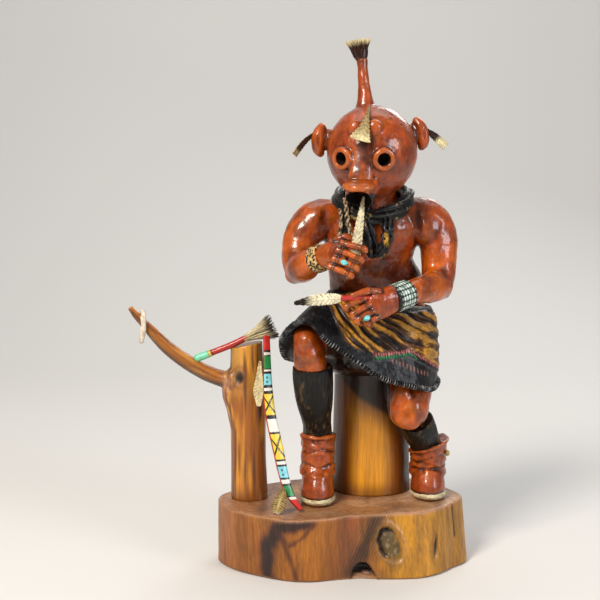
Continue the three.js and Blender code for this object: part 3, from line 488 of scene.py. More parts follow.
def makeSlab():
    topLine, footLine = pathThrough(slab["top"], True), pathThrough(slab["foot"], True)
    thick = slabTop
    edge, bend = slab["edge"], np.linspace(0, math.pi / 2, 6)
    inward = edge / slab["reach"]
    profile = [(s, 0.0) for s in np.linspace(0, 0.97, 8)]
    profile += [(1 - inward * (1 - math.sin(a)), edge * (1 - math.cos(a))) for a in bend]
    profile += [(1, h) for h in np.linspace(edge, thick - edge, 34)[1:-1]]
    profile += [(1 - inward * (1 - math.cos(a)), thick - edge * (1 - math.sin(a))) for a in bend]
    profile += [(s, thick) for s in np.linspace(0.95, 0, 30)]
    columns = 420
    lines = [(footLine(c / columns), topLine(c / columns)) for c in range(columns + 1)]
    grid = []
    for share, height in profile:
        row = []
        for low, high in lines:
            x, y = (low * (1 - height / thick) + high * height / thick) * share
            row.append((x, y, height))
        grid.append(row)
    piece = pieceFrom("slab_wood", [np.array(grid)])
    points, normals = readPoints(piece), readPoints(piece, "normal")
    side = 1 - ease(np.abs(normals[:, 2]), 0.2, 0.8)
    x, y, z = points.T
    flat = points * (1, 0, 1)
    front = side * (y < -5)
    push = side * (0.45 * cloudy(points, (16, 16, 40)) + 0.2 * cloudy(points, (2.6, 2.6, 18), 5))
    push += side * 0.1 * cloudy(points, (0.8, 0.8, 8), 9) + (1 - side) * 0.12 * cloudy(points, (5, 5, 5), 3)
    (kx, kz), (kw, kh), lean = slab["knot"], slab["knotSize"], slab["knotLean"]
    across = ((x - kx) * math.cos(lean) + (z - kz) * math.sin(lean)) / kw
    above = ((z - kz) * math.cos(lean) - (x - kx) * math.sin(lean)) / kh
    out = np.hypot(across, above) + 0.14 * cloudy(points, (3, 3, 3), 21)
    out = out + 0.06 * cloudy(points, (1, 1, 1), 22)
    upperLeft = ease(0.75 * above - 0.65 * across, -0.35, 0.5)
    groove = np.exp(-(((out - 0.86) / 0.15) ** 2)) * front * (0.2 + 0.8 * upperLeft)
    core = (1 - ease(out, 0.6, 0.9)) * front
    push += 0.9 * np.exp(-(((out - 1.15) / 0.2) ** 2)) * front - 2.6 * groove
    push += core * (0.5 * cloudy(points, (1.2, 1.2, 2.6), 23) - 0.4)
    push -= 1.0 * np.exp(-(((x - 1) / 4.5) ** 2)) * front * ease(z, -30, -4)
    sx, sz = slab["slit"]
    slit = np.exp(-(((x - sx - 0.12 * (z - sz)) / 0.9) ** 2) - (((z - sz) / 4.6) ** 2))
    crack = (1 - ease(nearLines(flat, [slab["crack"]]), 0.1, 0.7)) * side * (y < 8)
    push -= 2.2 * slit * front + 0.7 * crack
    (px, pz), (pw, ph) = slab["rotPocket"], slab["pocketSize"]
    pocket = np.hypot((x - px + 0.15 * (z - pz)) / pw, (z - pz) / ph) + 0.09 * cloudy(points, (3, 3, 3), 31)
    inPocket = (1 - ease(pocket, 0.74, 1.0)) * front
    lip = np.exp(-(((x - px - 1.5) / 3.6) ** 2) - (((z - pz - 1.8) / 1.5) ** 2)) * front
    push += 0.5 * np.exp(-(((pocket - 1.1) / 0.1) ** 2)) * front - 6.5 * inPocket + 3.8 * lip
    saw = 0.05 * np.sin((x * 0.9 + y * 0.35) * 2.6) * (z > -0.4) - 0.06
    moved = points + normals * np.minimum(push, 0.7)[:, None]
    moved[:, 2] = np.clip(moved[:, 2] + saw * (1 - side), -slabTop, 0)
    writePoints(piece, moved)
    ragged = 1.6 * cloudy(points, (4, 4, 9), 41) + 0.8 * cloudy(points, (1.1, 1.1, 6), 43)
    colour = ground(points, "#A05F12")
    colour = brush(colour, "#B67C16", ease(x + ragged, 12, 26) * side)
    colour = brush(colour, "#94541A", ease(-x, 40, 60) * side * 0.7)
    colour = brush(colour, "#7E3F1C", np.exp(-(((x - 3 + ragged) / 8) ** 2)) * front * 0.8)
    band = nearLines(flat, [slab["stainBand"]]) + ragged
    colour = brush(colour, "#6A3016", (1 - ease(band, 2.5, 7)) * side * (y < -20) * 0.7)
    colour = brush(colour, "#240E0A", (1 - ease(band, 1.4, 4.4)) * side * (y < -20) * 0.95)
    streaks = nearLines(flat, slab["stainStreaks"]) + 0.8 * ragged
    colour = brush(colour, "#4A1E0E", (1 - ease(streaks, 0.3, 2.4)) * front * 0.8)
    smudge = nearLines(flat, [slab["smudge"]]) + ragged
    hatch = 0.6 + 0.4 * np.sin((x - 0.42 * z) * 4.2 + ragged)
    colour = brush(colour, "#4E3418", (1 - ease(smudge, 4, 12)) * front * hatch * 0.85)
    colour = brush(colour, "#170E08", (1 - ease(smudge, 1, 5)) * front * (0.6 + 0.4 * hatch) * 0.9)
    colour = brush(colour, "#463C1E", core * 0.88)
    colour = brush(colour, "#A89A72", core * ease(cloudy(points, (1.0, 1.0, 2.2), 52), 0.2, 0.5) * 0.6)
    colour = brush(colour, "#7E5A2A", np.exp(-(((out - 1.15) / 0.18) ** 2)) * front * 0.6)
    colour = brush(colour, "#0E0805", np.maximum(groove, np.maximum(slit * front, crack) * 0.9))
    colour = brush(colour, "#0E0706", inPocket * (1 - lip))
    colour = brush(colour, "#B08A78", lip * 0.8)
    colour = brush(colour, "#9C6A40", 1 - side)
    colour = brush(
        colour, "#B08A66", (1 - side) * ease(cloudy(points, (22, 14, 9), 61) + x / 90, 0, 0.5) * 0.7)
    colour = brush(colour, "#5E3A2C", (1 - side) * ease(cloudy(points, (9, 30, 9), 63), 0.25, 0.5) * 0.5)
    colour = brush(colour, "#C4906A", np.exp(-(((z + 0.9) / 0.7) ** 2)) * 0.5)
    keep(piece, colour, hollows(piece, 6) * 0.7, logSlice, "slab_wood", "slab")
    store(
        piece, "grain", "FLOAT_VECTOR",
        points * np.where(side[:, None] > 0.5, (1, 1, 0.09), (0.35, 0.35, 1)))


makeSlab()
print("slab made")


# Log seat, a little oval, with flats left by the drawknife and a short crack at its foot
seat = {
    "middle": (16.5, 20.5), "radius": 20.2, "height": 65, "crack": [(29, 3.6, 2), (28.2, 3.4, 9)],
    "thighShade": [(-20, 74), (-2.7, 64.8), (8.9, 52), (22.9, 43.9), (36, 36)],
}


def makeSeat():
    cx, cy = seat["middle"]
    levels = [(s, 0.0) for s in np.linspace(0, 0.98, 5)]
    levels += [(1.02 - 0.07 * ease(np.array(t), 0, 1), t) for t in np.linspace(0, 1, 70)]
    levels += [(s, 1.0) for s in np.linspace(0.93, 0, 10)]
    turn = np.linspace(0, 2 * math.pi, 161)
    oval = 1 + 0.03 * np.cos(2 * turn) + 0.012 * np.cos(3 * turn + 1)
    grid = []
    for share, level in levels:
        radius = share * oval * seat["radius"]
        height = np.full(len(turn), slabTop + level * seat["height"])
        grid.append(np.stack([cx + radius * np.cos(turn), cy + radius * np.sin(turn), height], 1))
    piece = pieceFrom("log_seat_wood", [np.array(grid)])
    points, normals = readPoints(piece), readPoints(piece, "normal")
    side = 1 - ease(np.abs(normals[:, 2]), 0.2, 0.8)
    push = 0.25 * cloudy(points, (7, 7, 60)) + 0.1 * cloudy(points, (2, 2, 14), 4)
    writePoints(piece, points + normals * (side * push)[:, None])
    score(piece, [seat["crack"]], 0.9, 0.7)
    x = points[:, 0] - cx + 2 * cloudy(points, (9, 9, 40), 8)
    colour = ground(points, "#CB8606")
    # Painted shade: the log turns darker toward its left and right sides
    colour = brush(colour, "#864A08", ease(np.abs(x + 1), 6, 13))
    colour = brush(colour, "#4A2408", ease(np.abs(x + 1), 12, 20))
    colour = brush(colour, "#6E3C12", ease(-points[:, 2], -9, -1) * 0.7)
    # Painted shadow of the thigh and kilt: the log's front darkens above a slanting line, nearly black just
    # above it
    thighShadowEdge = np.interp(points[:, 0], *zip(*seat["thighShade"]))
    front = ease(-points[:, 1], -24, -16)
    colour = brush(colour, "#4A2408", ease(points[:, 2] - thighShadowEdge, -14, 2) * front * 0.8)
    colour = brush(colour, "#120603", ease(points[:, 2] - thighShadowEdge, -1.5, 2.5) * front * 0.95)
    keep(piece, colour, hollows(piece, 5), peeledLog, "peeled_log", "log_seat")
    store(piece, "grain", "FLOAT_VECTOR", points * (1, 1, 0.05))


makeSeat()

# Forked stump: trunk, swelling and branch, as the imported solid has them
stump = {
    "place": (-48.5, 0.5), "radius": 9.4, "height": 81.5, "tilt": 11, "lean": 1.3, "forkAt": 0.74,
    "branch": [
        (-5, 0, 62, 1.25), (-15, -0.6, 63.6, 1.06), (-23.5, -1.4, 67.2, 1), (-32.8, -2.4, 72.8, 0.95),
        (-40.7, -3.2, 79, 0.88), (-47, -3.8, 85.1, 0.8), (-52.4, -4.2, 91.1, 0.62), (-57.2, -4.4, 96, 0.48),
        (-61, -4.5, 101, 0.34)],
    "branchRadius": 4.1, "knot": (-53.1, -9.8, 65.2), "scar": (-59.6, -7.4, 61.8),
}


def makeStump():
    cx, cy = stump["place"]
    radius, high, lean = stump["radius"], stump["height"], stump["lean"]
    fork = high * stump["forkAt"]
    slope = math.tan(math.radians(stump["tilt"]))
    shares = pathThrough([(1.03,), (1.0,), (0.97,), (0.965,), (0.98,), (1.0,), (1.0,), (0.93,), (0.89,)])
    levels = [(s, 0.0) for s in np.linspace(0, 0.95, 4)] + [(1, t) for t in np.linspace(0, 1, 90)]
    levels += [(s, 1.0) for s in (0.97, 0.9, 0.75, 0.5, 0.25, 0)]
    turn = np.linspace(0, 2 * math.pi, 73)
    grid = []
    for share, level in levels:
        r = radius * shares(level)[0] * share
        x = cx - lean * level + r * np.cos(turn)
        top = high + slope * (x - cx + lean)
        grid.append(np.stack([x, cy + r * np.sin(turn), slabTop + level * top], 1))
    r = stump["branchRadius"]
    branch = [(cx + x, cy + y, z, r * s, r * s) for x, y, z, s in stump["branch"]]
    swelling = [
        (cx - 1.0, cy - 0.6, fork - 24, radius * 0.9, radius * 0.88),
        (cx - 3.2, cy - 1.0, fork - 13, radius * 0.9, radius * 0.88),
        (cx - 6.2, cy - 1.2, fork - 4, radius * 0.84, radius * 0.84),
        (cx - 6.6, cy - 0.6, fork + 4, radius * 0.68, radius * 0.74)]
    forms = [np.array(grid), loft(branch, side=(0, 0, 1), steps=60, dome=(0.9, 0.25)), loft(swelling)]
    piece = carved("forked_stump_wood", forms, 0.5, 3)
    points, normals = readPoints(piece), readPoints(piece, "normal")
    top = (normals[:, 2] > 0.85) & (points[:, 2] > high - 4) & (points[:, 0] > cx - 12)
    onBranch = ease(-(points[:, 0] - cx), 11, 15)
    push = (0.3 * cloudy(points, (6, 6, 45)) + 0.12 * cloudy(points, (1.8, 1.8, 12), 4)) * (1 - onBranch)
    push += (0.22 * cloudy(points, (12, 3, 5), 6) + 0.1 * cloudy(points, (2, 2, 2), 7)) * onBranch
    knot = np.linalg.norm((points - stump["knot"]) / (2.1, 4.0, 3.1), axis=1)
    push += 0.5 * np.exp(-(((knot - 1.8) / 0.7) ** 2)) - 0.7 * np.exp(-((knot / 1.2) ** 2))
    scar = np.linalg.norm((points - stump["scar"]) / (1.2, 3, 2.4), axis=1)
    push += 0.3 * np.exp(-(((scar - 2) / 1) ** 2)) - 0.3 * np.exp(-((scar / 1.2) ** 2))
    writePoints(piece, points + normals * (push * ~top)[:, None])
    line = pathThrough(branch)
    spine = np.array([line(t)[:3] for t in np.linspace(0, 1, 160)])
    nearest = ((points[:, None, :] - spine[None]) ** 2).sum(2).argmin(1)
    run = np.concatenate([[0], np.cumsum(np.linalg.norm(np.diff(spine, axis=0), axis=1))])
    off = points - spine[nearest]
    along = np.stack(
        [np.hypot(off[:, 0], off[:, 2]) * np.sign(off[:, 2]), off[:, 1], run[nearest] * 0.07], 1)
    colour = ground(points, "#9C5808")
    # Painted shade: the trunk turns darker toward its left and right sides
    colour = brush(colour, "#6A340C", ease(np.abs(points[:, 0] - cx + 1), 4, 9.5) * 0.8 * (1 - onBranch))
    colour = brush(colour, "#CC9844", ease(points[:, 2], 50, 66) * (1 - onBranch) * 0.75)
    colour = brush(
        colour, "#D08A20", ease(cloudy(points, (3, 3, 30), 13), 0.05, 0.4) * 0.8 * (1 - onBranch))
    colour = brush(
        colour, "#4E2208", ease(cloudy(points, (2.2, 2.2, 40), 12), 0.05, 0.4) * 0.85 * (1 - onBranch))
    colour = brush(colour, "#A8620C", onBranch * 0.8)
    colour = brush(colour, "#C88C34", ease(cloudy(along, (2, 2, 1.1), 17), 0.0, 0.4) * onBranch * 0.6)
    colour = brush(colour, "#522A0E", ease(cloudy(along, (1.5, 1.5, 1.3), 18), 0.1, 0.4) * onBranch * 0.7)
    # Painted shade on the underside of the branch
    colour = brush(colour, "#3E2210", onBranch * ease(-normals[:, 2], -0.1, 0.7) * 0.85)
    colour = brush(colour, "#32140C", np.exp(-((knot / 1.25) ** 4)) * 0.95)
    colour = brush(colour, "#6E3214", np.exp(-(((knot - 1.8) / 0.6) ** 2)) * 0.5)
    colour = brush(colour, "#C79A7C", np.exp(-((scar / 1.8) ** 2)) * 0.8)
    collar = np.exp(-(((points[:, 0] - cx + 9.5) / 2.6) ** 2))
    collar = collar * ease(points[:, 2], 50, 56) * (1 - ease(points[:, 2], 70, 76))
    colour = brush(colour, "#5A2E2A", collar * ease(cloudy(points, (3, 3, 3), 71), -0.3, 0.4) * 0.75)
    colour = brush(colour, "#5A2E12", ease(-points[:, 2], -12, -1) * 0.5)
    colour = brush(colour, "#6E4420", top * 0.8)
    cavity = hollows(piece, 6) + 0.5 * np.exp(-((knot / 1.15) ** 4))
    keep(piece, colour, cavity, peeledLog, "peeled_log", "forked_stump")
    upright = points * (1, 1, 0.07)
    store(piece, "grain", "FLOAT_VECTOR", np.where(onBranch[:, None] > 0.5, along, upright))


makeStump()
print("log seat and forked stump made")

# Figure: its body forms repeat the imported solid's, with muscle added over them
body = {
    "torso": [
        (22, 20, 70, 20, 14), (22, 19, 82, 22, 15), (23, 16.5, 96, 22, 15.5), (18.6, 12, 110, 24.6, 16.5),
        (16.4, 10, 117.5, 23.2, 16.5), (14.8, 8, 126, 22.4, 16.5), (15.4, 5, 140, 25.5, 16),
        (15.5, 3, 148, 24, 12.8), (15, 0, 155, 15, 11), (14.5, -6, 166, 11, 10.5)],
    "rightUpperArm": [
        (-4, 4.5, 147, 9.5, 9.5), (-13, 3.5, 146.5, 10, 10.8), (-20, 1.5, 139.5, 9.4, 10),
        (-22.5, -1.5, 131, 8.3, 8.8), (-23, -5, 125, 7.8, 8.2), (-22.5, -8, 121.5, 7.6, 7.4)],
    "rightForearm": [
        (-22.5, -8, 121.5, 7.6, 7.4), (-20, -15, 123, 8, 7.8), (-16, -22, 126, 6.7, 6.5),
        (-11, -28.5, 128.8, 5.4, 5.2)],
    "leftUpperArm": [
        (34, 5, 148, 10, 10), (43.8, 5, 146.5, 10.8, 11.3), (49.3, 4, 139, 10.4, 10.6),
        (50.4, 2, 129, 9.2, 9.6), (50, -1, 119, 8.3, 8.8), (49.5, -4.5, 113, 8.2, 7.8)],
    "leftForearm": [
        (49.5, -4.5, 113, 8.2, 7.8), (45, -12, 112, 7.8, 7.4), (38, -20, 111.4, 6.8, 6.5),
        (29.5, -27.5, 110, 5.6, 5.4)],
    "rightPalm": [
        (-11, -28.5, 128.8, 5.3, 5.1), (-7, -33.5, 129.8, 6.7, 4.9), (-3, -37.2, 130, 6.9, 3.7),
        (-0.8, -38.4, 130, 6.2, 3)],
    "leftPalm": [
        (29.5, -27.5, 110, 5.5, 5.2), (23, -32.4, 108, 6.9, 4.9), (17, -35.8, 105.6, 7.3, 4.1),
        (14.4, -36.8, 104.6, 6.6, 3.3)],
    "rightFingers": [
        [(-1.4, -39, 135.9), (9.4, -41.3, 132.9), (8, -36.5, 130.9)],
        [(-3.4, -39.8, 132.6), (7.6, -42, 128), (6.2, -37, 126.4)],
        [(-5.3, -39.6, 128.4), (5.4, -41.8, 124.1), (4.2, -37, 122.8)],
        [(-7.2, -38.2, 124.6), (2.8, -40.6, 120.4), (2, -36.5, 119.4)],
        [(-6, -35, 136.4), (0.5, -37, 139), (4.4, -37.6, 137.6)]],
    "leftFingers": [
        [(9.4, -38, 109), (0.2, -40.8, 104.8), (2.8, -37, 102.4)],
        [(11.6, -38.8, 106), (3.4, -41, 101), (5.8, -37.2, 98.8)],
        [(14, -38.4, 103), (5.8, -40.8, 98.4), (8.2, -37, 96.6)],
        [(16.8, -37.2, 100.2), (11.2, -39.4, 97), (13, -36, 95.6)],
        [(18.6, -35.4, 111.6), (10.6, -39.2, 112.8), (3.6, -40.4, 110.6)]],
    "finger": 1.62, "ringMarks": (0.1, 0.2, 0.78, 0.88),
    "rightThigh": [
        (10, 16, 83, 14, 14), (-3, 1, 86.5, 13, 12.5), (-12.4, -12, 87.5, 10.4, 10.8),
        (-18.6, -20.5, 87, 7.2, 8)],
    "rightShin": [
        (-19.2, -22.5, 89, 6.2, 7), (-17.6, -22, 80, 7.8, 8.6), (-16, -20, 71, 8.3, 8.8),
        (-15.2, -18, 64, 8, 8.6)],
    "leftThigh": [
        (36, 16, 76, 15, 14), (36, 3, 70, 14.2, 13.5), (34, -9, 58.5, 12.4, 12),
        (33.4, -17, 49.8, 10.4, 10.6)],
    "seat": ((11, 13, 74), (24, 17, 12.5)),
    "muscles": [
        ((44, 3, 142), (10.5, 10.5, 10)), ((-16, 2, 142), (9.5, 9.6, 9)), ((31, 17, 140), (10, 4, 12)),
        ((0, 15, 140), (10, 4, 12)), ((-19, -27, 86), (4.6, 4.2, 5.2)), ((-18, -28, 79), (4, 3, 3.4)),
        ((33.2, -22.6, 47), (7, 5, 6.4)), ((30, -20, 56), (5, 6, 9)), ((52, -4.6, 109.6), (4.4, 4.6, 4)),
        ((-25, -8, 117.6), (4.6, 4.6, 4)), ((47, -8.4, 115.5), (6, 6.6, 6)),
        ((-22, 0, 134), (7.4, 9.2, 8))],
    "swells": [
        ((2, -9, 142.5), (9, 9, 6.5), 2.2), ((29, -9, 142.5), (10, 9, 6.5), 2.4),
        ((19, -10, 119), (12, 8, 9), 1.2), ((31, 20, 141), (9, 8, 10), 1.4),
        ((0, 17, 141), (9, 8, 10), 1.4), ((45, -6, 130), (7, 7, 9), 1.0),
        ((15.6, -12, 138), (2.4, 8, 9), -1.3), ((15.4, 22, 128), (2.6, 8, 20), -1.4)],
    "creases": [
        [(-9, -9, 136.5), (1, -12, 134), (10, -12.6, 135.5)],
        [(21, -12.6, 135.5), (30, -12, 134), (39, -9, 137)],
        [(15.5, -16, 147), (15.8, -14.5, 138), (16.8, -13.5, 130), (18.5, -11, 120)],
        [(8, -10, 122), (20, -12, 118.6), (34, -9, 122)], [(12, -9, 113), (22, -10, 111), (34, -7, 114)],
        [(-9.5, -7, 150), (-10.5, -8, 141), (-11, -6, 132)],
        [(38.5, -7, 150), (39, -8, 141), (40, -6, 128)]],
}
flesh = "#963A03"


def fingerForm(joints):
    r = body["finger"]
    knuckle, middle, tip = [np.array(joint) for joint in joints]
    half = knuckle * 0.45 + middle * 0.55 + np.array([0, -0.5, 0.3])
    return loft([
        (*knuckle, r * 1.15, r * 1.2), (*half, r, r), (*middle, r * 1.08, r * 1.08),
        (*tip, r * 0.85, r * 0.85)],
        sides=16, steps=18, side=(0, 0, 1))


def fleshPaint(points, wide):
    # Wide is how deep each point lies in its wider surroundings; the broad hollows between forms get painted
    # shade
    colour = ground(points, flesh)
    colour = brush(colour, "#C45C06", ease(cloudy(points, (13, 13, 13), 8), -0.05, 0.45) * 0.7)
    colour = brush(colour, "#441302", ease(cloudy(points, (8, 8, 15), 14), 0.08, 0.5) * 0.7)
    colour = brush(colour, "#8A5A1E", ease(cloudy(points, (5, 5, 5), 19), 0.3, 0.6) * 0.3)
    return brush(colour, "#3A1206", ease(wide, 0.4, 2.2) * 0.8)


def makeSkin():
    upright = {"side": (0, 0, 1)}
    forms = [loft(body["torso"], 40, 44), ball(*body["seat"])]
    forms += [loft(body[part], **upright) for part in (
        "rightUpperArm", "rightForearm", "leftUpperArm", "leftForearm")]
    forms += [loft(body["rightThigh"]), loft(body["leftThigh"]), loft(body["rightShin"], dome=(0.8, 0.2))]
    forms += [ball(centre, radii) for centre, radii in body["muscles"]]
    piece = carved("figure_skin", forms, 0.67, 21)
    points, normals = readPoints(piece), readPoints(piece, "normal")
    rise = sum(
        lift * np.exp(-(((points - centre) / radii) ** 2).sum(1)) for centre, radii, lift in body["swells"])
    writePoints(piece, points + normals * rise[:, None])
    score(piece, body["creases"], 0.6, 3.2)
    points, normals = readPoints(piece), readPoints(piece, "normal")
    facets = 0.35 * cloudy(points, (4.5, 4.5, 6), 2) + 0.12 * cloudy(points, (1.8, 1.8, 1.8), 5)
    writePoints(piece, points + normals * facets[:, None])
    cavity = hollows(piece, 12)
    colour = fleshPaint(points, hollows(piece, 52))
    # Painted shade along the scored creases
    colour = brush(colour, "#3E1408", (1 - ease(nearLines(points, body["creases"]), 0.4, 3.4)) * 0.6)
    # Painted shade on the belly's front, below the chest
    bellyShade = ease(130 - points[:, 2], 0, 12) * ease(-normals[:, 1], 0, 0.5) * (points[:, 2] > 96)
    colour = brush(
        colour, "#3A1002",
        bellyShade * (points[:, 0] > -10) * (points[:, 0] < 40) * (points[:, 1] > -18) * 0.85)
    # Painted shadow under the kilt, between the legs; it is also given as hollow depth so the material
    # stains it and rubs no wear onto it
    kiltShadow = (points[:, 0] > -8) * (points[:, 0] < 24) * (points[:, 2] < 88)
    colour = brush(colour, "#1C0904", kiltShadow * 0.92)
    cavity = np.where(kiltShadow, np.maximum(cavity, 0.3), cavity)
    keep(piece, colour, cavity, varnishedFlesh, "painted_figure", "figure")


def makeHands():
    upright = {"side": (0, 0, 1)}
    fingers = body["rightFingers"] + body["leftFingers"]
    forms = [loft(body["rightPalm"], **upright), loft(body["leftPalm"], **upright)]
    forms += [fingerForm(joints) for joints in fingers]
    piece = carved("figure_hands", forms, 0.3, 3)
    tendons = []
    for hand, wrist in (("rightFingers", (-9, -33.6, 129.6)), ("leftFingers", (25, -33.6, 108.6))):
        for joints in body[hand][:4]:
            knuckle = np.array(joints[0])
            toWrist = np.array(wrist) - knuckle
            tendons.append([tuple(knuckle + toWrist * share) for share in (0.2, 0.8)])
    points, normals = readPoints(piece), readPoints(piece, "normal")
    raised = (1 - ease(nearLines(points, tendons), 0.2, 1.5)) * 0.3
    writePoints(piece, points + normals * (raised + 0.1 * cloudy(points, (1.6, 1.6, 1.6), 5))[:, None])
    cavity = hollows(piece, 16)
    colour = fleshPaint(points, hollows(piece, 50))
    # Painted shade: the gaps between the fingers go near black
    colour = brush(colour, "#080202", ease(cavity, 0.1, 0.3) * 0.9)
    for joints in fingers:
        knuckle, middle = np.array(joints[0]), np.array(joints[1])
        length = np.linalg.norm(middle - knuckle)
        reach = (points - knuckle) @ unit(middle - knuckle)
        near = (offLine(points, knuckle, middle) < body["finger"] + 1.1) * (normals[:, 1] < 0.2)
        for mark in body["ringMarks"]:
            line = np.abs(reach - mark * length)
            colour = brush(colour, "#0A0302", (1 - ease(line, 0.22, 0.5)) * near * 0.97)
        nail = np.linalg.norm((points - middle - (0.8, -0.6, -1.2)) / (0.9, 1.6, 0.7), axis=1)
        colour = brush(colour, "#C9927A", (1 - ease(nail, 0.7, 1.1)) * 0.5)
    keep(piece, colour, cavity * 1.3, varnishedFlesh, "painted_figure", "figure")


makeSkin()
makeHands()
print("torso, arms and hands carved")

# Mask: ball head with brow swellings, goggle eyes, snout, knobs at the sides and a topknot
mask = {
    "centre": (14.2, -15, 180.5), "radii": (22.7, 22.3, 23.2),
    "brows": [((5.4, -33, 191.6), (4.1, 3.1, 4.2)), ((14.2, -34.2, 191.4), (4.1, 3.1, 4.3))],
    "nose": [
        (10, -33, 189, 3, 1.2), (9, -34.4, 181, 4.4, 1.7), (8.2, -35, 174, 5.2, 2.2),
        (7.4, -35.4, 167.6, 6.2, 2.8)],
    "snout": [
        (9.8, -27, 165.5, 9.0, 8.0), (8, -33, 161, 7.8, 6.8), (6.8, -37.4, 157.6, 7.0, 6.2),
        (6.4, -38.4, 157, 6.8, 6.0)],
    "upperLip": ((6.4, -38.4, 163.4), (8.0, 7, 3.1), (13, 0, -3)),
    "mouth": [(8.4, -30, 161, 3, 2.4), (6.8, -35.6, 157.2, 5.9, 4.9), (5.9, -44, 155, 6.7, 5.6)],
    "eyes": [(-0.662, -0.733, -0.154), (0.19, -0.965, -0.18)], "rim": 5.5, "pupil": 3.0,
    "topknot": [
        (11.2, -12, 199, 6.4, 6), (10.9, -11.8, 204.5, 4.6, 4.5), (10.4, -11.3, 211, 3.4, 3.4),
        (9.8, -10.8, 219, 2.8, 2.8), (9.3, -10.4, 227, 2.9, 2.7)],
    "rightKnob": [
        (-10.8, -11.4, 193.2, 2.2, 3.0), (-12.2, -11.6, 190.2, 3.2, 4.3), (-12.8, -11.6, 186, 3.4, 4.6),
        (-12.4, -11.2, 181.8, 3.1, 4.0), (-11.4, -10.8, 179.8, 2.1, 2.9)],
    "leftKnob": [
        (36.8, -10, 196.2, 2.2, 2.9), (38.8, -9.8, 193.4, 3.2, 4.3), (40.2, -9.6, 189, 3.3, 4.5),
        (40.2, -9.4, 185, 3.0, 3.9), (39.4, -9.2, 183, 2.0, 2.7)],
    "stalks": [((-8, -11, 187), (5, 3, 5.4)), ((35.4, -10, 189.6), (5, 3, 5.4))],
}


def onMask(direction, reach):
    out = unit(np.array(direction, float))
    return np.array(mask["centre"]) + out * (np.array(mask["radii"]) + reach)


def rimForm(eye, radius, tubeRadius):
    # A ring of wood round an eye
    middle, out = onMask(eye, 1.0), unit(np.array(eye, float))
    wide = unit(np.cross(out, (0, 0, 1)))
    high = np.cross(wide, out)
    around = np.linspace(0, 2 * math.pi, 17)[:-1]
    ring = [middle + radius * (wide * math.cos(a) + high * math.sin(a)) for a in around]
    return loft(
        [(*p, tubeRadius, tubeRadius * 1.1) for p in ring], sides=12, steps=64, side=tuple(out), closed=True)


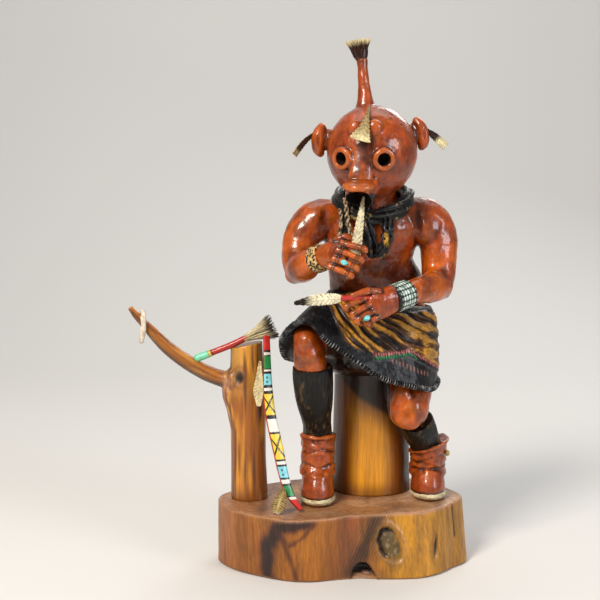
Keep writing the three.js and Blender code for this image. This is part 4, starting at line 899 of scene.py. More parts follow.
def makeMask():
    forms = [ball(mask["centre"], mask["radii"], sides=72, rows=48)]
    forms += [ball(*brow) for brow in mask["brows"]] + [ball(*stalk) for stalk in mask["stalks"]]
    forms += [loft(mask["nose"]), loft(mask["snout"], dome=(0.5, 0.3)), ball(*mask["upperLip"])]
    forms += [loft(mask["topknot"], dome=(0.3, 0.2), steps=50)]
    forms += [loft(mask["rightKnob"]), loft(mask["leftKnob"])]
    for eye in mask["eyes"]:
        forms += [rimForm(eye, mask["rim"] - 1.25, 1.5)]
    piece = pieceFrom("figure_mask", forms)
    settle(
        piece, ("REMESH", {"mode": "VOXEL", "voxel_size": 0.5 * mm}),
        ("SMOOTH", {"factor": 0.5, "iterations": 5}))
    cutters = []
    pupil = mask["pupil"]
    for eye in mask["eyes"]:
        bore = [(*onMask(eye, -3), pupil, pupil), (*onMask(eye, 6), pupil + 0.4, pupil + 0.4)]
        cutters.append(loft(bore, dome=(0.5, 0.1)))
    cutters.append(loft(mask["mouth"]))
    tool = pieceFrom("mask_cutter", cutters)
    settle(piece, ("BOOLEAN", {"operation": "DIFFERENCE", "object": tool, "solver": "EXACT"}))
    bpy.data.objects.remove(tool)
    settle(
        piece, ("REMESH", {"mode": "VOXEL", "voxel_size": 0.45 * mm}),
        ("SMOOTH", {"factor": 0.5, "iterations": 2}))
    points, normals = readPoints(piece), readPoints(piece, "normal")
    push = 0.24 * cloudy(points, (5, 5, 5), 2) + 0.09 * cloudy(points, (1.6, 1.6, 1.6), 5)
    for knob in (mask["rightKnob"], mask["leftKnob"]):
        x, y, z = knob[2][:3]
        dish = np.linalg.norm((points - (x + 0.4, y - 4.6, z)) / (1.3, 2.4, 3.4), axis=1)
        push -= 0.6 * (1 - ease(dish, 0.4, 1.1))
    writePoints(piece, points + normals * push[:, None])
    cavity = hollows(piece, 12)
    x, y, z = points.T
    face = ease(-y, 24, 30)
    colour = fleshPaint(points, hollows(piece, 60))
    colour = brush(colour, "#8C3604", 0.4)
    stripe = np.exp(-(((x - 9.4 - 0.1 * (z - 180)) / 3.8) ** 4)) * ease(190 - z, 0, 5) * ease(z, 166, 170)
    colour = brush(colour, "#3A150C", stripe * face * ease(cloudy(points, (3, 3, 7), 33), -0.6, 0.1) * 0.85)
    # Painted highlight: a grey-purple streak along the nose ridge
    ridge = np.exp(-(((x - 6.6 - 0.1 * (z - 180)) / 1.5) ** 2)) * ease(188 - z, 0, 6) * ease(z, 166, 172)
    colour = brush(colour, "#6E4A44", ridge * face * 0.7)
    lipX, lipY, lipZ = mask["upperLip"][0]
    onLip = np.linalg.norm((points - (lipX, lipY - 3, lipZ - 1)) / (8.4, 6, 3.4), axis=1)
    colour = brush(colour, "#B25A22", (1 - ease(onLip, 0.7, 1.15)) * 0.75)
    # Painted shade where each knob meets the head
    for centre, _ in mask["stalks"]:
        fromStalk = np.linalg.norm((points - centre) / (2.6, 5, 7), axis=1)
        colour = brush(colour, "#2A0E05", np.exp(-(fromStalk**2)) * 0.85)
    underLip = ease(160.4 - z, 0, 1.6) * ease(-y, 31, 35)
    colour = brush(colour, "#120503", underLip * 0.97)
    depths = np.where(underLip > 0.3, np.maximum(cavity, 0.3), cavity)
    depths = np.where(stripe * face > 0.25, np.maximum(depths, 0.06), depths)
    for eye in mask["eyes"]:
        out = unit(np.array(eye, float))
        fromAxis = np.linalg.norm(np.cross(points - onMask(eye, 0), out), axis=1)
        level = (points - onMask(eye, 0)) @ out
        near = (np.abs(level) < 9) * (level > -6)
        colour = brush(
            colour, "#A8500F", np.exp(-(((fromAxis - 4.3) / 0.9) ** 2)) * near * (level > 0.4) * 0.6)
        inPupil = (fromAxis < pupil + 0.35) * near * (level < 1.5)
        colour = brush(colour, "#030101", inPupil)
        depths[inPupil] = 3
    mouthLine = [tuple(station[:3]) for station in mask["mouth"]]
    inMouth = (nearLines(points, [mouthLine]) < 6.4) * (y > -42) * (y < -28.5) * (z < 163)
    inMouth = inMouth * (normals[:, 1] < 0.9)
    facing = ((points - (6.4, -36, 157.4)) * normals).sum(1) < 0
    colour = brush(colour, "#030101", inMouth * facing)
    depths[inMouth & facing] = 3
    colour = brush(colour, "#2C0F07", ease(z, 219, 228) * 0.8)
    keep(piece, colour, depths, varnishedFlesh, "painted_figure", "figure")


makeMask()
print("mask carved")

# Stockings, boots and soles
legs = {
    "stockings": [
        [
            (-15.4, -20.6, 72.6, 10.0, 10.0), (-15.2, -19.4, 66, 10.1, 10.3), (-14.4, -14.5, 55, 9.4, 9.9),
            (-13.2, -9.6, 43, 7.4, 8.2), (-12.7, -6.4, 36, 7.4, 7.7), (-12.6, -6, 30, 7, 7.6)],
        [
            (38.4, -10, 43, 8.6, 9), (40, -7.6, 38.4, 8.8, 9), (42.4, -2.4, 33, 8.3, 8.4),
            (45, 1.4, 27, 7.8, 8), (46, 3, 22, 7.6, 7.8)]],
    "boots": [
        {"shaft": [
            (-12.6, -6, 15, 9.4, 9.9), (-12.6, -5.9, 21, 8.9, 9.5), (-12.5, -5.7, 29, 8.7, 9.3),
            (-12.3, -5.4, 35.5, 8.8, 9.4)],
         "foot": [
            (-12.6, -9, 1.8, 8.6, 12.6), (-12.7, -9.4, 6, 8.7, 12.6), (-12.7, -8.6, 11, 8.3, 10.9),
            (-12.6, -6.4, 16.4, 8.2, 8.8)],
         "slant": 0.0},
        {"shaft": [
            (46, 5.2, 12, 10, 10.2), (46, 4.8, 17, 9.6, 10), (46.1, 3.6, 23, 9.6, 10.8),
            (46.2, 2.8, 28.5, 9.9, 11.6)],
         "foot": [
             (46, 2.4, 1.8, 8.9, 12.6), (45.9, 2, 6, 9.1, 12.6), (45.9, 2.8, 9.6, 8.6, 10.9),
             (46, 4.8, 13.2, 8.6, 9)],
         "slant": 0.34}],
    "button": (55.6, -1.6, 24),
}


def makeStockings():
    forms = [loft(line, sides=90, steps=60, dome=(0.06, 0.2)) for line in legs["stockings"]]
    piece = pieceFrom("figure_stockings", forms)
    points, normals = readPoints(piece), readPoints(piece, "normal")
    turn = np.arctan2(points[:, 1] + 12, points[:, 0] - np.where(points[:, 0] > 15, 42, -14))
    ribs = 0.16 * np.sin(turn * 46) + 0.12 * cloudy(points, (2, 2, 5), 3)
    writePoints(piece, points + normals * ribs[:, None])
    colour = ground(points, "#080706")
    flecks = ease(cloudy(points, (1.3, 1.3, 5), 6), 0.1, 0.45)
    flecks = flecks * ease(cloudy(points, (9, 9, 14), 36), -0.2, 0.3)
    colour = brush(colour, "#6A5026", flecks * 0.7)
    keep(piece, colour, ribs * -0.6, mattPaint, "painted_figure", "figure")


def slanted(grid, boot):
    # The boot's top rises toward its outer side
    low, high = boot["shaft"][0][2] + 5, boot["shaft"][-1][2]
    level = ease(grid[..., 2] - slabTop, low, high)
    grid[..., 2] += level * boot["slant"] * (grid[..., 0] - boot["shaft"][0][0])
    return grid


def makeBoots():
    forms, soles, creases = [], [], []
    around = np.linspace(0, 2 * math.pi, 25)
    for boot in legs["boots"]:
        shaft, foot = boot["shaft"], boot["foot"]
        forms.append(slanted(loft(shaft, sides=48, dome=(0.1, 0.04)), boot))
        forms.append(loft(foot, sides=48, dome=(0.08, 0.3)))
        x, y, z, w, d = shaft[-1]
        top = [
            (x + (w - 0.2) * math.cos(a), y + (d - 0.2) * math.sin(a), z - 0.9, 0.75, 1.2)
            for a in around[:-1]]
        forms.append(slanted(loft(top, sides=12, steps=90, closed=True, side=(0, 0, 1)), boot))
        x, y, z, w, d = foot[0]
        sole = [(x, y, 0.8, w - 0.4, d - 0.4), (x, y, 2.4, w + 0.6, d + 0.9), (x, y, 4.1, w + 0.2, d + 0.4)]
        soles.append(loft(sole, sides=64, steps=24, dome=(0.12, 0.08)))
        at = pathThrough(shaft)
        for level, dip in ((0.3, 0.6), (0.6, 0.9)):
            x, y, z, w, d = at(level)
            tilt = boot["slant"] * w * level
            ripple = [z + dip * math.sin(3 * a + 9 * level) + tilt * math.cos(a) for a in around]
            creases.append([
                (x + w * math.cos(a), y + d * math.sin(a), height) for a, height in zip(around, ripple)])
    piece = carved("figure_boots", forms, 0.5, 3)
    score(piece, creases, 0.45, 1.5)
    points, normals = readPoints(piece), readPoints(piece, "normal")
    onShaft = ease(points[:, 2], 13, 16)
    puckers = onShaft * (0.6 * cloudy(points, (5, 5, 2.8), 3) + 0.2 * cloudy(points, (2.2, 2.2, 1.6), 7))
    puckers = np.minimum(puckers, 0.4) + 0.15 * cloudy(points, (2.4, 2.4, 2.4), 5)
    writePoints(piece, points + normals * puckers[:, None])
    cavity = hollows(piece, 12)
    colour = fleshPaint(points, hollows(piece, 40))
    colour = brush(colour, "#8E3A10", 0.5)
    colour = brush(colour, "#120604", (1 - ease(points[:, 2], 4.6, 5.3)) * 0.95)
    keep(piece, colour, cavity, varnishedFlesh, "painted_figure", "figure")
    sole = pieceFrom("figure_soles", soles)
    points = readPoints(sole)
    points[:, 2] = np.maximum(points[:, 2], 0)
    writePoints(sole, points)
    colour = ground(points, "#D6C9A0")
    colour = brush(colour, "#9A8452", ease(cloudy(points, (3, 3, 1), 4), 0, 0.5) * 0.6)
    colour = brush(colour, "#120A06", ease(points[:, 2], 4.0, 4.3))
    # Painted shade along the foot of each sole, where it meets the slab
    colour = brush(colour, "#3A2414", (1 - ease(points[:, 2], 0.1, 0.7)) * 0.8)
    keep(sole, colour, 0, palePaint, "painted_figure", "figure")
    button = pieceFrom("boot_button", [ball(legs["button"], (1.3, 1.3, 1.6), sides=24, rows=14)])
    keep(button, ground(readPoints(button), "#A8905A"), 0, glossEnamel, "painted_figure", "figure")


makeStockings()
makeBoots()
print("legs and boots made")

# Kilt: a shell from waist to hem, charcoal wool below, a painted hide wrapped over it and a woven band
kilt = {
    "thickness": 2.2, "waist": {"x": 21.5, "y": 13.5, "z": 105, "width": 26.3, "depth": 20, "rise": -0.19},
    "hem": [
        (-29.5, -8, 76.7), (-30.4, -20, 86.3), (-26.5, -28, 93.7), (-20.8, -32, 97.5), (-15, -34, 95.4),
        (-9.5, -34, 88.5), (2.2, -33, 79.9), (16, -32, 70.3), (27.5, -30, 65.9), (38.3, -26, 62.7),
        (46, -15, 60.8), (50, 3, 62.5), (48, 24, 63), (41, 41, 62), (22, 46.5, 61), (0, 43, 63),
        (-16, 28, 67), (-25.5, 10, 72)],
    "hideEdge": [
        (-9, 112), (-7, 103), (-2.8, 92.8), (1.1, 86.4), (9.7, 81.9), (16, 80.4), (25, 81), (33, 81.9),
        (36, 80.4), (43, 75.4), (50, 70.4), (60, 70)],
    "bandWidth": 3.0, "stitch": 1.5, "dots": [(24, 0, 77), (33, 0, 73.4), (43, 0, 68.6)],
}


def kiltPlace(hem, u, s):
    waist = kilt["waist"]
    end = hem(u)
    angle = math.atan2(end[1] - waist["y"], end[0] - waist["x"])
    start = np.array([waist["width"] * math.cos(angle), waist["depth"] * math.sin(angle), 0])
    start[2] = waist["rise"] * start[0] + waist["z"]
    start[:2] += (waist["x"], waist["y"])
    front = max(0, -math.sin(angle))
    folds = 0.55 * math.sin(9 * angle) * s * (1 - 0.4 * s) * (1 - front * 0.4)
    swell = (3.2 + 2.4 * front) * math.sin(math.pi * s**0.8) + folds
    place = start * (1 - s) + end * s
    return place + np.array([math.cos(angle) * 0.7, math.sin(angle) * 0.5, 0.35 + 0.65 * front]) * swell


def makeKilt():
    hem = pathThrough(kilt["hem"], True)
    around, fall = np.linspace(0, 1, 481), np.linspace(0, 1, 80)
    grid = np.array([[kiltPlace(hem, u, s) + slabLift for u in around] for s in fall])
    piece = pieceFrom("figure_kilt", [grid])
    points, normals = readPoints(piece), readPoints(piece, "normal")
    outward = np.sign(((points[:, :2] - (21, 12)) * normals[:, :2]).sum())
    normals = normals * outward
    x, y, z = points.T
    edgeX, edgeZ = zip(*kilt["hideEdge"])
    ragged = 0.5 * cloudy(points, (2.5, 2.5, 2.5), 3)
    edge = np.interp(x, edgeX, edgeZ) + ragged
    onHide = ease(z - edge, -0.4, 0.4) * (x > -9)
    waistband = onHide * (ease(z, 98.6, 99.6) * ease(x, 16, 26) + ease(z, 108, 109))
    across = (z + 0.52 * x - 15 * np.exp(-np.clip(x + 4, -8, 60) / 12)) * 0.85
    across = across + 1.5 * cloudy(points, (12, 12, 12), 30)
    strands = np.stack([across, x * 0.12, y * 0.12], 1)
    lock, hair = cloudy(strands, (2.7, 2.7, 2.7), 6), cloudy(strands, (0.55, 0.55, 0.55), 16)
    bandWidth = kilt["bandWidth"]
    onBand = ease(z - edge, -bandWidth - 0.2, -bandWidth + 0.3) * (1 - onHide)
    onBand = onBand * ease(x, 14, 15.5) * (y < 22)
    rows = (edge - z) / bandWidth
    dashes = np.sin((x + 0.5 * y + 0.8 * z * (x > 35)) * 2 * math.pi / kilt["stitch"] + rows * 2.4)
    hairy = onHide * (1 - np.clip(waistband, 0, 1))
    push = hairy * (0.5 + 1.3 * lock + 0.5 * hair) + onBand * (0.25 + 0.3 * np.abs(dashes))
    push += 0.35 * cloudy(points, (9, 9, 22), 11) + 0.12 * cloudy(points, (2, 2, 2), 12) * (1 - onHide)
    writePoints(piece, points + normals * push[:, None])
    hollow = hairy * (-lock * 0.5 - hair * 0.5) + onBand * (0.15 - 0.3 * np.abs(dashes))
    colour = ground(points, "#090A0C")
    colour = brush(colour, "#34363A", ease(cloudy(points, (1.2, 1.2, 1.2), 44), 0.1, 0.5) * 0.5)
    colour = brush(colour, "#22120A", onHide)
    colour = brush(colour, "#5C3710", hairy * ease(lock + 0.4 * hair, -0.12, 0.08) * 0.9)
    colour = brush(colour, "#C88E2C", hairy * ease(lock + 0.35 * hair, 0.14, 0.3))
    colour = brush(colour, "#0E0D0E", waistband)
    upper, lower = (rows < 0.5), (rows >= 0.62)
    colour = brush(colour, "#120C0C", onBand)
    colour = brush(colour, "#B06E62", onBand * upper * (dashes > 0.1))
    colour = brush(colour, "#7A2A30", onBand * upper * (dashes < -0.35))
    colour = brush(colour, "#1F7A45", onBand * lower * (x < 37) * (dashes > -0.6))
    dotted = (1 - ease(nearLines(points * (1, 0, 1), [kilt["dots"]]), 0.7, 1.3)) * (y < 0)
    colour = brush(colour, "#8A5A4A", dotted * ease(np.sin(x * 3.4), 0.1, 0.5) * 0.8)
    fringe = 1 - ease(np.abs(z - edge + bandWidth + 0.5), 0.15, 0.5)
    colour = brush(colour, "#4A4A4C", fringe * (x > 14) * (y < 22) * 0.7)
    kiltPiece = keep(piece, colour, hollow, knittedPaint, "painted_figure", "figure")
    store(kiltPiece, "woven", "FLOAT", (1 - onHide) * (1 - onBand))
    settle(
        kiltPiece, ("SOLIDIFY", {"thickness": kilt["thickness"] * mm, "offset": -outward, "use_rim": True}))
    rim = [(*kiltPlace(hem, u, 1), 1.2, 1.7) for u in np.linspace(0, 1, 97)[:-1]]
    roll = pieceFrom("kilt_hem", [loft(rim, sides=16, steps=1500, closed=True, side=(0, 0, 1))])
    points, normals = readPoints(roll), readPoints(roll, "normal")
    run = readUv(roll)[:, 1] * 1500
    notches = 0.45 * np.sin(run * 0.72 + 1.2 * cloudy(points, (6, 6, 6), 25))
    notches = notches + 0.3 * cloudy(points, (1.6, 1.6, 1.6), 15)
    writePoints(roll, points + normals * (notches - 0.2)[:, None])
    bare = ease(notches, 0.24, 0.5) * ease(cloudy(points, (3, 3, 3), 35), -0.3, 0.3)
    colour = brush(ground(points, "#0E0E0F"), "#A4A6A8", bare)
    keep(roll, colour, -notches * 0.6, mattPaint, "painted_figure", "figure")


makeKilt()
print("kilt made")

# Scarf: black strands round the neck, tails at the chest and a pale twisted string
scarf = {
    "roll": [
        (2.6, -24, 152, 2.2, 3), (-2.2, -13, 157, 2.2, 3), (1, 2, 160, 2.4, 3), (15, 8, 161, 2.4, 3),
        (29, 2, 160.5, 2.4, 3), (33, -9, 158, 2.4, 3), (28, -19.5, 152, 2.4, 3), (15, -25, 148, 2.6, 3)],
    "tails": [
        [
            (11, -20, 156, 3.4, 2.6), (10.6, -24.6, 148, 3.8, 2.8), (12.4, -25.4, 138, 4.2, 2.4),
            (15, -22.5, 129, 3, 2)],
        [
            (20, -21, 152, 2.6, 2), (21.5, -27.4, 143, 2.8, 2), (20.4, -28.4, 135, 2.6, 1.8),
            (17.6, -27, 129, 1.6, 1.4)],
        [(1, -22, 152, 1.8, 1.8), (0.8, -25, 144, 1.7, 1.7), (2.6, -26, 134, 1.4, 1.4)]],
    "string": [
        [
            (0.2, -30, 157.4, 0.7, 0.7), (1.0, -29.4, 152, 0.8, 0.8), (1.8, -29.6, 145, 0.8, 0.8),
            (3.4, -30.6, 138, 0.8, 0.8)],
        [(-2.2, -26.6, 152, 0.5, 0.5), (-1.6, -28, 146, 0.6, 0.6), (-2.8, -28.4, 139, 0.6, 0.6)]],
}


def makeScarf():
    forms = strandsRound(scarf["roll"], 5, 1.0, 1.35, 0.35, True, 70)
    forms.append(loft(scarf["roll"], closed=True, steps=90, side=(0, 0, 1)))
    for tail in scarf["tails"]:
        forms += strandsRound(tail, 6, 0.95, 0.85, 0.25, False, 24)
        forms.append(loft([(x, y + 0.6, z, w * 0.8, d * 0.8) for x, y, z, w, d in tail]))
    piece = carved("figure_scarf", forms, 0.36, 1)
    cavity = hollows(piece, 9)
    points = readPoints(piece)
    colour = ground(points, "#070708")
    # Painted highlight: blue-grey on the raised strands
    colour = brush(colour, "#3A3E4A", ease(-cavity, 0.1, 0.4) * 0.55)
    ochre = np.linalg.norm((points - (20.6, -29, 137.5)) / (1.7, 3, 4.6), axis=1)
    colour = brush(
        colour, "#C29428", (1 - ease(ochre + 0.3 * cloudy(points, (1, 1, 3), 9), 0.7, 1.1)) * 0.95)
    thread = ease(cloudy(points, (1.4, 1.4, 9), 16), 0.34, 0.46) * ease(-cavity, -0.05, 0.15)
    colour = brush(colour, "#9A7A34", thread * 0.7)
    keep(piece, colour, cavity, mattPaint, "painted_figure", "figure")
    cords = [grid for line in scarf["string"] for grid in strandsRound(line, 2, 0.9, 0.55, 2.6, False, 60)]
    cord = pieceFrom("scarf_string", cords)
    points = readPoints(cord)
    colour = brush(
        ground(points, "#B49A78"), "#2A1C14", ease(cloudy(points, (1.4, 1.4, 1.4), 7), 0, 0.3) * 0.85)
    keep(cord, colour, 0, palePaint, "painted_figure", "figure")


# Cuffs: one of spotted hide, one of silver beads in rows
cuffs = {
    "hide": {"from": (-14.4, -24.2, 126.8), "to": (-10, -29.2, 128.9), "radius": 6.9, "spots": 1.25},
    "beads": {
        "from": (32.6, -25, 110.6), "to": (23.6, -31.8, 108), "radius": 6.9, "rows": 7, "columns": 15},
}


def cuffEdge(t):
    # A cuff's wall draws in at both its ends
    return -0.7 * (abs(2 * t - 1) ** 6)


def cuffGrid(cuff, swell, rows=70, columns=260):
    start, end = np.array(cuff["from"], float), np.array(cuff["to"], float)
    axis = unit(end - start)
    wide = unit(np.cross(axis, (0, 0, 1)))
    high = np.cross(wide, axis)
    grid = []
    outer, inner = cuff["radius"], cuff["radius"] - 1.6
    profile = [(0, inner)] + [(t, None) for t in np.linspace(0, 1, rows)] + [(1, inner), (0, inner)]
    for t, fixed in profile:
        turn = np.linspace(0, 2 * math.pi, columns + 1)
        lift = swell(t, turn) if fixed is None else 0 * turn
        radius = (fixed if fixed is not None else outer) + lift
        ring = start + axis * (t * np.linalg.norm(end - start))
        out = np.cos(turn)[:, None] * wide + np.sin(turn)[:, None] * high
        grid.append(ring + radius[:, None] * out + slabLift)
    return np.array(grid)


def makeCuffs():
    def wavy(t, turn):
        return cuffEdge(t) + 0.12 * np.sin(7 * turn + 5 * t)

    piece = pieceFrom("hide_cuff", [cuffGrid(cuffs["hide"], wavy, 30, 140)])
    points = readPoints(piece)
    spots = np.array([noise.voronoi(Vector(p / cuffs["hide"]["spots"]))[0][0] for p in points])
    colour = brush(ground(points, "#C9A56C"), "#E0C898", ease(cloudy(points, (2, 2, 2), 3), 0, 0.4) * 0.8)
    colour = brush(colour, "#2A1208", 1 - ease(spots + 0.16 * cloudy(points, (1, 1, 1)), 0.44, 0.54))
    keep(piece, colour, 0, palePaint, "painted_figure", "figure")
    beads = cuffs["beads"]

    def beaded(t, turn):
        row = abs(math.sin(math.pi * t * beads["rows"])) ** 0.35
        column = np.abs(np.sin(turn * beads["columns"] / 2)) ** 0.3
        return cuffEdge(t) + 0.8 * row * column - 0.5

    piece = pieceFrom("bead_cuff", [cuffGrid(beads, beaded)])
    points = readPoints(piece)
    start, end = np.array(beads["from"]), np.array(beads["to"])
    fromAxis = np.linalg.norm(np.cross(points - start, unit(end - start)), axis=1)
    raised = ease(fromAxis, beads["radius"] - 0.08, beads["radius"] + 0.14)
    colour = brush(ground(points, "#0C1412"), "#C6D8CA", raised)
    colour = brush(colour, "#3E6A5C", raised * ease(cloudy(points, (1.5, 1.5, 1.5), 4), -0.05, 0.3) * 0.8)
    keep(piece, colour, 0, glossEnamel, "painted_figure", "figure")


makeScarf()
makeCuffs()
print("scarf and cuffs made")

# Ring stones, each a turquoise oval in a dark painted ring
stones = {
    "right_ring_stone": {"centre": (-0.6, -43.9, 126.9), "turn": (0, 20, 0)},
    "left_ring_stone": {"centre": (10.6, -42.6, 99.9), "turn": (0, -32, 0)},
}
for name, stone in stones.items():
    piece = pieceFrom(name + "_polished", [ball(stone["centre"], (1.75, 1.0, 1.3), stone["turn"], 32, 20)])
    points = readPoints(piece)
    colour = brush(ground(points, "#4FC4C8"), "#9AE4E0", ease(cloudy(points, (1, 1, 1), 3), 0, 0.5))
    keep(piece, colour, 0, glossEnamel, "turquoise", name)

# Feathers: thin vanes with a quill, barbs cut across them and painted tips
feathers = {
    "forehead_feather": {
        "line": [
            (12, -18.5, 202.4), (11.8, -26, 201.4), (10.8, -33.5, 197.8), (9.0, -38.6, 191.4),
            (6.8, -41.2, 185.2)],
        "widths": [0.5, 0.5, 0.8, 2.7, 5.4], "side": (1, 0, 0.1), "base": "#A08C60", "tip": "#D8C998",
        "dark": "#57452C", "tipFrom": 0.86},
    "right_knob_feather": {
        "line": [(-14, -11.4, 190.4), (-19.4, -12.4, 186), (-24.8, -12.8, 179.2)],
        "widths": [1.0, 2.0, 2.4], "side": (0.42, 0.8, -0.36), "base": "#5A3A1C", "tip": "#CDBB8A",
        "dark": "#2A160A", "tipFrom": 0.8},
    "left_knob_feather": {
        "line": [(40.6, -9.8, 192.2), (46, -10.2, 188.4), (51.6, -10.6, 183.2)], "widths": [0.9, 2.2, 2.6],
        "side": (0.5, 0.5, 0.62), "base": "#2E1A0E", "tip": "#D8CBA0", "dark": "#1A0E08", "tipFrom": 0.62},
    "hand_feather": {
        "line": [(4.8, -39, 128), (6, -41, 139), (7.4, -41.8, 149), (8.8, -40, 158.6)],
        "widths": [2.6, 2.4, 1.6, 0.4], "side": (1, 0, 0), "base": "#D2C8A4", "tip": "#6E5E42",
        "dark": "#7A643E", "tipFrom": 0.78},
    "lap_feather": {
        "line": [(-1.6, -41.4, 109.4), (-5, -42.4, 109.3), (-14, -43.6, 108.8), (-24.6, -44, 107.2)],
        "widths": [1.2, 2.5, 2.8, 0.8], "side": (0, 0, 1), "base": "#E4DCBC", "tip": "#1C120A",
        "dark": "#84785A", "tipFrom": 0.76},
    "upper_bow_feather": {
        "line": [(-42.2, -12.7, 74.4), (-42.6, -14.2, 66), (-43.0, -15.4, 59), (-42.8, -16.6, 51.8)],
        "widths": [0.5, 1.8, 2.7, 1.0], "side": (1, 0.1, 0), "base": "#CFC096", "tip": "#D8CCA4",
        "dark": "#BCA87C", "tipFrom": 0.9},
    "lower_bow_feather": {
        "line": [(-29.8, -29.8, 12.6), (-31, -31.4, 8.8), (-32.6, -33.3, 4.4), (-33.6, -34, 0.8)],
        "widths": [0.6, 2.7, 3.7, 1.6], "side": (1, -0.2, 0.3), "base": "#A89058", "tip": "#D0C090",
        "dark": "#4A3416", "tipFrom": 0.9},
}


def makeFeather(name, feather):
    at = pathThrough([(*p, w) for p, w in zip(feather["line"], feather["widths"])])
    rows, columns = 130, 40
    across = np.linspace(-1, 1, columns + 1)
    grid = []
    for row in range(rows + 1):
        t = row / rows
        x, y, z, width = at(t)
        tangent = unit(at(t + nudge)[:3] - at(t - nudge)[:3])
        wide = unit(np.array(feather["side"], float) - tangent * np.dot(feather["side"], tangent))
        face = np.cross(tangent, wide)
        split = 1 - 0.2 * max(0, math.sin(row * 0.9)) * (t > 0.15) * abs(math.sin(row * 0.23))
        barb = 0.16 * np.sin(t * 80 - np.abs(across) * 6) * ease(np.abs(across), 0.1, 0.3)
        barb += 0.3 * np.exp(-((across / 0.1) ** 2)) - 0.3 * across**2
        reach = (across * width * split)[:, None] * wide
        grid.append(np.array([x, y, z + slabTop]) + reach - barb[:, None] * face)
    piece = pieceFrom(name + "_vane", [np.array(grid)])
    points, uv = readPoints(piece), readUv(piece)
    t, across = uv[:, 1], uv[:, 0] * 2 - 1
    colour = ground(points, feather["base"])
    barbs = ease(np.sin(t * 80 - np.abs(across) * 6), -0.2, -0.9) * ease(np.abs(across), 0.12, 0.3)
    speckle = ease(cloudy(points, (1.2, 1.2, 1.2), 4), -0.2, 0.4)
    colour = brush(colour, feather["dark"], barbs * (0.4 + 0.6 * speckle))
    level = t + 0.04 * np.sin(across * 25)
    onTip = ease(level, feather["tipFrom"] - 0.04, feather["tipFrom"] + 0.04)
    colour = brush(colour, feather["tip"], onTip * (1 - 0.4 * barbs))
    colour = brush(colour, "#E4D9B8", (1 - ease(np.abs(across), 0.03, 0.1)) * (1 - ease(t, 0.6, 0.85)))
    keep(piece, colour, 0, palePaint, "feather", name)
    settle(piece, ("SOLIDIFY", {"thickness": 0.5 * mm, "offset": 0}))


for name, feather in feathers.items():
    makeFeather(name, feather)
lapStick = {
    "line": [(14, -37.2, 109.2, 1.3, 1.3), (6, -39.2, 109.4, 1.4, 1.4), (-1.2, -41.4, 109.4, 1.5, 1.3)],
    "paint": "#B02A22",
}
piece = pieceFrom("lap_stick", [loft(lapStick["line"], sides=20, side=(0, 0, 1))])
keep(piece, ground(readPoints(piece), lapStick["paint"]), 0, glossEnamel, "red_stick", "lap_feather")


# Tufts: bristles that fan out from a tie, with their tips darkened or bleached
def makeTuft(name, node, tuft):
    grids = []
    axis = unit(np.array(tuft["along"], float))
    origin, length, thick, spread = np.array(tuft["from"]), tuft["length"], tuft["thick"], tuft["spread"]
    for _ in range(tuft["count"]):
        lean = np.array([chance.gauss(0, 1) for _ in range(3)]) * tuft["flat"]
        lean = lean - axis * (lean @ axis)
        lean = lean / max(np.linalg.norm(lean), 1e-6) * chance.random() ** 0.6
        root = origin + lean * tuft["root"]
        far = length * (0.82 + 0.18 * chance.random())
        end = root + axis * far + lean * spread
        half = root + axis * far * 0.5 + lean * spread * 0.36
        fine = thick * 0.4
        hair = [(*root, thick, thick), (*half, thick, thick), (*end, fine, fine)]
        grids.append(loft(hair, sides=6, steps=5))
    piece = pieceFrom(name, grids)
    points = readPoints(piece)
    level = ((points - origin) @ axis) / length
    colour = ground(points, tuft["low"])
    colour = brush(colour, tuft["mid"], ease(level, *tuft["midFrom"]))
    colour = brush(colour, tuft["high"], ease(level + 0.06 * cloudy(points, (1, 1, 1)), *tuft["highFrom"]))
    keep(piece, colour, 0, palePaint, "feather", node)


# Topknot's end: a dark cup that holds a pale fringe
crown = {
    "cup": [
        (9.1, -10.3, 226.6, 2.9, 2.7), (8.6, -10.2, 229, 3.8, 3.0), (8.0, -10.1, 231.4, 4.4, 3.2),
        (7.6, -10, 233, 4.6, 3.2)],
    "fringe": {
        "from": (8.3, -10.2, 228), "along": (-0.14, 0.02, 1), "length": 8.8, "spread": 3.6, "count": 170,
        "thick": 0.34, "flat": (1, 0.5, 1), "root": 3.0, "low": "#1E100A", "mid": "#3A2012",
        "high": "#D8C69A", "midFrom": (0.2, 0.5), "highFrom": (0.62, 0.8)},
}


def makeCrown():
    cup = pieceFrom("topknot_cup", [loft(crown["cup"], dome=(0.1, 0.1))])
    points = readPoints(cup)
    colour = brush(ground(points, "#2E160C"), "#6A3018", ease(cloudy(points, (1, 1, 4)), 0, 0.5))
    keep(cup, colour, 0, mattPaint, "feather", "topknot_feather")
    makeTuft("topknot_fringe", "topknot_feather", crown["fringe"])


makeCrown()

# Prayer stick on the stump: green cap, yellow tie, red shaft and a bristle tuft
prayer = {
    "line": [(-75.1, -2.7, 74.6), (-67, -2.7, 77.6), (-57, -2.7, 81.6), (-50, -2.7, 85)], "radius": 1.65,
    "cap": 6.2, "tie": 1.4,
    "tuft": {
        "from": (-51.5, -2.7, 84.2), "along": (0.9, 0, 0.4), "length": 18.5, "spread": 5.6, "count": 170,
        "thick": 0.3, "flat": (1, 0.4, 1), "root": 1.2, "low": "#B9A77A", "mid": "#D6C8A0",
        "high": "#2E2214", "midFrom": (0.05, 0.3), "highFrom": (0.62, 0.88)},
}


